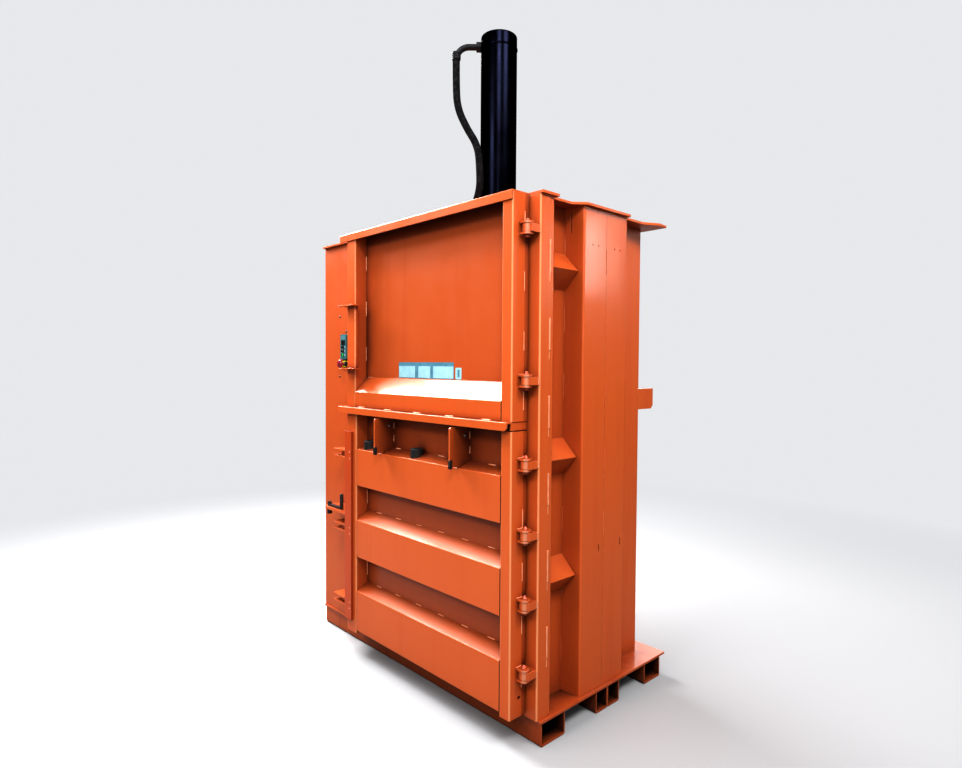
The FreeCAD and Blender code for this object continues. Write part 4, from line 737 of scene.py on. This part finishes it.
door_low, door_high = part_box("upper_door_panel")
lower_low, lower_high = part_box("lower_door_panel")
hinge_low, hinge_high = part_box("hinge_pins")
hinge_y = (hinge_low.y + hinge_high.y) / 2
post_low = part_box("upper_door_posts")[0]
HINGES = {"upper_door": (1.931, 1.375), "lower_door": (1.067, 0.804, 0.546, 0.286)}
EAR_REACH = 0.024  # from a hinge's middle to the outer face of each ear
for body, heights in HINGES.items():
    seams = []
    for height in heights:
        for z in (height + EAR_REACH, height - EAR_REACH):
            seams.append(((door_high.x, hinge_y - 0.020, z), (door_high.x, hinge_y + 0.010, z)))
    weld(body + "_ear_welds", body, seams, 0.028, 0.05, 0.0026)
weld("lug_welds", "frame", [((hinge_high.x + 0.018, column_low.y, height - 0.014),
                             (hinge_high.x + 0.018, column_low.y, height + 0.014))
                            for heights in HINGES.values() for height in heights], 0.026, 0.05, 0.003)


# Upper door: a tray panel between two folded posts, over a sloping sill. Short welds hold
# the sill, the posts, the lip and the handle, and a row of blank stickers is on the panel.
# the doors carry strong painted shade in their recesses and a painted highlight along their bends
door_paint = coated("door_paint", ORANGE, DEEP_ORANGE, PALE_ORANGE, 0.5, 0.22, 0.33,
                    crevice_shade=0.85, bend_highlight=0.75)
DARK_ORANGE = (0.50, 0.062, 0.010)
# the recessed panels get a darker copy of the door paint as painted shade, and strong painted shade in
# their corners
shaded_panel_paint = coated("shaded_panel_paint", DULL_ORANGE, DARK_ORANGE, PALE_ORANGE, 0.5, 0.22, 0.33,
                     crevice_shade=0.95)
finish_node(door_paint, "upper_door_sill", "upper_door_top_plate", "upper_door_bottom_plate",
            "upper_door_handle")
finish_node(shaded_panel_paint, "upper_door_panel", "lower_door_panel")
finish_node(column_paint, "upper_door_posts", "lower_door_posts")
sill_low, sill_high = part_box("upper_door_sill")
lip_low, lip_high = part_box("upper_door_bottom_plate")
weld("upper_door_sill_welds", "upper_door", [
    ((sill_low.x, sill_high.y, sill_high.z), (sill_high.x, sill_high.y, sill_high.z)),
], 0.035, 0.23, 0.0035)
weld("upper_door_lip_welds", "upper_door", [
    ((lip_low.x + 0.06, sill_low.y, lip_high.z), (lip_high.x, sill_low.y, lip_high.z)),
], 0.05, 0.215, 0.0055)
weld("upper_door_post_welds", "upper_door", [
    ((door_high.x, door_low.y, door_low.z + 0.03), (door_high.x, door_low.y, door_high.z - 0.05)),
    ((sill_low.x, door_low.y, sill_high.z + 0.03), (sill_low.x, door_low.y, door_high.z - 0.05)),
], 0.07, 0.22, 0.003)
handle_low, handle_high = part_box("upper_door_handle")
weld("handle_welds", "upper_door", [
    ((door_low.x + 0.002, post_low.y, handle_high.z), (handle_high.x - 0.02, post_low.y, handle_high.z)),
    ((door_low.x + 0.002, post_low.y, handle_low.z + 0.005),
     (handle_high.x - 0.02, post_low.y, handle_low.z + 0.005)),
], 0.03, 0.045, 0.003)

sticker_blue, tree, shader = new_material("sticker_blue", (0.30, 0.62, 0.72), 0.3)
fade = surface_noise(tree, 30, 4)
tree.links.new(blend_colour(tree, ramp(tree, fade, 0.35, 0.75), (0.50, 0.84, 0.92),
                            (0.34, 0.68, 0.78)), shader.inputs["Base Color"])
sticker_dark, tree, shader = new_material("sticker_dark", (0.10, 0.26, 0.36), 0.3)
fade = surface_noise(tree, 40, 4)
tree.links.new(blend_colour(tree, ramp(tree, fade, 0.35, 0.75), (0.14, 0.36, 0.48),
                            (0.09, 0.25, 0.36)), shader.inputs["Base Color"])
strip_left, strip_right = tube_high.x - 0.840, tube_high.x - 0.453
strip_low, strip_top = 1.372, 1.443
front = door_low.y
stickers = [rounded_plate("strip", (strip_left, front - 0.0002, strip_low),
                          (strip_right, front, strip_top), "Y", 0.003, sticker_dark, 0.00005)]
for left, right in ((0.003, 0.122), (0.146, 0.230), (0.250, 0.384)):
    stickers.append(rounded_plate("field", (strip_left + left, front - 0.0004, strip_low + 0.003),
                                  (strip_left + right, front, strip_top - 0.017), "Y", 0.002,
                                  sticker_blue, 0.00005))
stickers.append(rounded_plate("tag", (strip_right + 0.010, front - 0.0004, strip_low),
                              (strip_right + 0.048, front, strip_low + 0.049), "Y", 0.005,
                              sticker_blue, 0.00005))
stickers.append(rounded_plate("tag_field", (strip_right + 0.024, front - 0.0006, strip_low + 0.010),
                              (strip_right + 0.036, front, strip_low + 0.040), "Y", 0.001,
                              sticker_dark, 0.00005))
join("door_stickers", stickers, "upper_door")


# Lower door: the same panel and posts with three deep folded ribs, two gussets under the
# upper door's lip, and the flat lock bar, all welded.
finish_node(door_paint, "lower_door_ribs", "lower_door_gussets")
lock_paint = coated("lock_paint", (0.62, 0.090, 0.016), DEEP_ORANGE, PALE_ORANGE, 0.7, 0.4, 0.36)
finish_node(lock_paint, "lock_bar")
rib_low, rib_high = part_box("lower_door_ribs")
RIB_TOPS = (1.044, 0.718, 0.360)
RIB_GAPS = ((0.735, 0.835), (0.375, 0.485))
weld("lower_door_rib_welds", "lower_door", [
    ((rib_low.x + 0.02, rib_high.y, z), (rib_high.x - 0.02, rib_high.y, z))
    for z in RIB_TOPS], 0.038, 0.155, 0.0035)
weld("lower_door_post_welds", "lower_door", [
    ((lower_high.x, lower_low.y, lower_low.z + 0.05), (lower_high.x, lower_low.y, lower_high.z - 0.03)),
    *(((rib_low.x, lower_low.y, low), (rib_low.x, lower_low.y, high)) for low, high in RIB_GAPS),
], 0.07, 0.20, 0.003)

gusset_low, gusset_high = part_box("lower_door_gussets")
rubber_black = plastic("rubber_black", (0.010, 0.010, 0.010), 0.6, 500)
edge_caps = []
gusset_bolts = []
gusset_welds = []
half_gusset = 0.004
weld_low, weld_high = 1.062, 1.180
for x in (gusset_low.x + half_gusset, gusset_high.x - half_gusset):
    edge_caps.append(rounded_plate("edge_cap", (x - 0.006, gusset_low.y - 0.001, gusset_low.z - 0.001),
                                   (x + 0.006, gusset_low.y + 0.012, gusset_low.z + 0.034), "X", 0.003,
                                   rubber_black))
    for side in (-1, 1):
        face_x = x + side * half_gusset
        gusset_welds.append(((face_x, lower_low.y, weld_low), (face_x, lower_low.y, weld_high)))
        gusset_bolts += hexagon_head("gusset_bolt", (face_x, tube_low.y - 0.076, 1.150), (side, 0, 0),
                                     0.010, 0.005, machined)
join("gusset_edge_caps", edge_caps, "lower_door")
join("gusset_bolts", gusset_bolts, "lower_door")
weld("gusset_welds", "lower_door", gusset_welds, 0.03, 0.06, 0.003)

lock_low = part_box("lock_bar")[0]
LOCK_HEIGHTS = (0.987, 0.616, 0.247)
PLUG = [(0, 0.0010), (0.0034, 0.0008), (0.0044, 0), (0, 0)]
plug_x = lower_low.x + 0.043
dimples = []
for z in LOCK_HEIGHTS:
    for offset in (-0.016, 0.016):
        dimples.append(turned("plug", PLUG, (plug_x, lock_low.y, z + offset), (0, -1, 0),
                              weld_paint_with_highlight, 16))
join("lock_bar_plugs", dimples, "lower_door")


# Twine guides: black rubber bushes through the top rib, with a rolled lip that the baling
# twine runs over.
guide_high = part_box("twine_guides")[1]
finish_node(rubber_black, "twine_guides")
LIP = [(0.0125, 0), (0.0125, 0.0022), (0.0170, 0.0052), (0.0225, 0.0046), (0.0268, 0.0020),
       (0.0280, -0.0010), (0.0125, -0.0010), (0.0125, 0)]
lips = [turned("guide_lip", LIP, (tube_high.x + x, tube_low.y - 0.077, guide_high.z), (0, 0, 1),
               rubber_black, 32) for x in (-1.034, -0.665)]
join("twine_guide_lips", lips, "lower_door")


# Lock: ears welded to the cabinet's front, and the black steel lever that swings on a bolt
# in its bracket, with a rubber sleeve for the hand.
finish_node(hinge_paint, "lock_ears", "lever_bracket")
lever_black = coated("lever_black", (0.016, 0.016, 0.018), (0.008, 0.008, 0.010),
                     (0.20, 0.20, 0.21), 0.9, 0.4, 0.35, crevice_shade=0.0)
finish_node(lever_black, "lever_bolt", "lock_lever")
ears_low, ears_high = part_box("lock_ears")
ear_seams = []
for z in LOCK_HEIGHTS:
    for height in (z - 0.020, z + 0.020):
        ear_seams.append(((ears_low.x + 0.01, ears_high.y, height),
                          (ears_high.x - 0.01, ears_high.y, height)))
weld("lock_ear_welds", "frame", ear_seams, 0.035, 0.055, 0.003)
lever_low, lever_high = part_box("lock_lever")
grip_x = lever_high.x - 0.009
grip_y = (lever_low.y + lever_high.y) / 2
SLEEVE = [(0, 0.0665), (0.0050, 0.0662), (0.0082, 0.0640), (0.0092, 0.0600), (0.0088, 0.0450),
          (0.0092, 0.0300), (0.0088, 0.0120), (0.0098, 0.0020), (0.0098, 0.0003), (0, 0.0003)]
sleeve = turned("lever_sleeve", SLEEVE, (grip_x, grip_y, lever_high.z - 0.0662), (0, 0, 1),
                rubber_black, 24)
join("lever_sleeve", [sleeve], "lever")


# Bale ejector: a bare steel plate that turns on a rod in the chamber's floor, rubbed dark
# by the bales that it tips out.
bare_steel = brushed("bare_steel", (0.15, 0.145, 0.14), 0.5, 14, (1, 8, 1))
finish_node(bare_steel, "ejector_plate", "ejector_hinge")
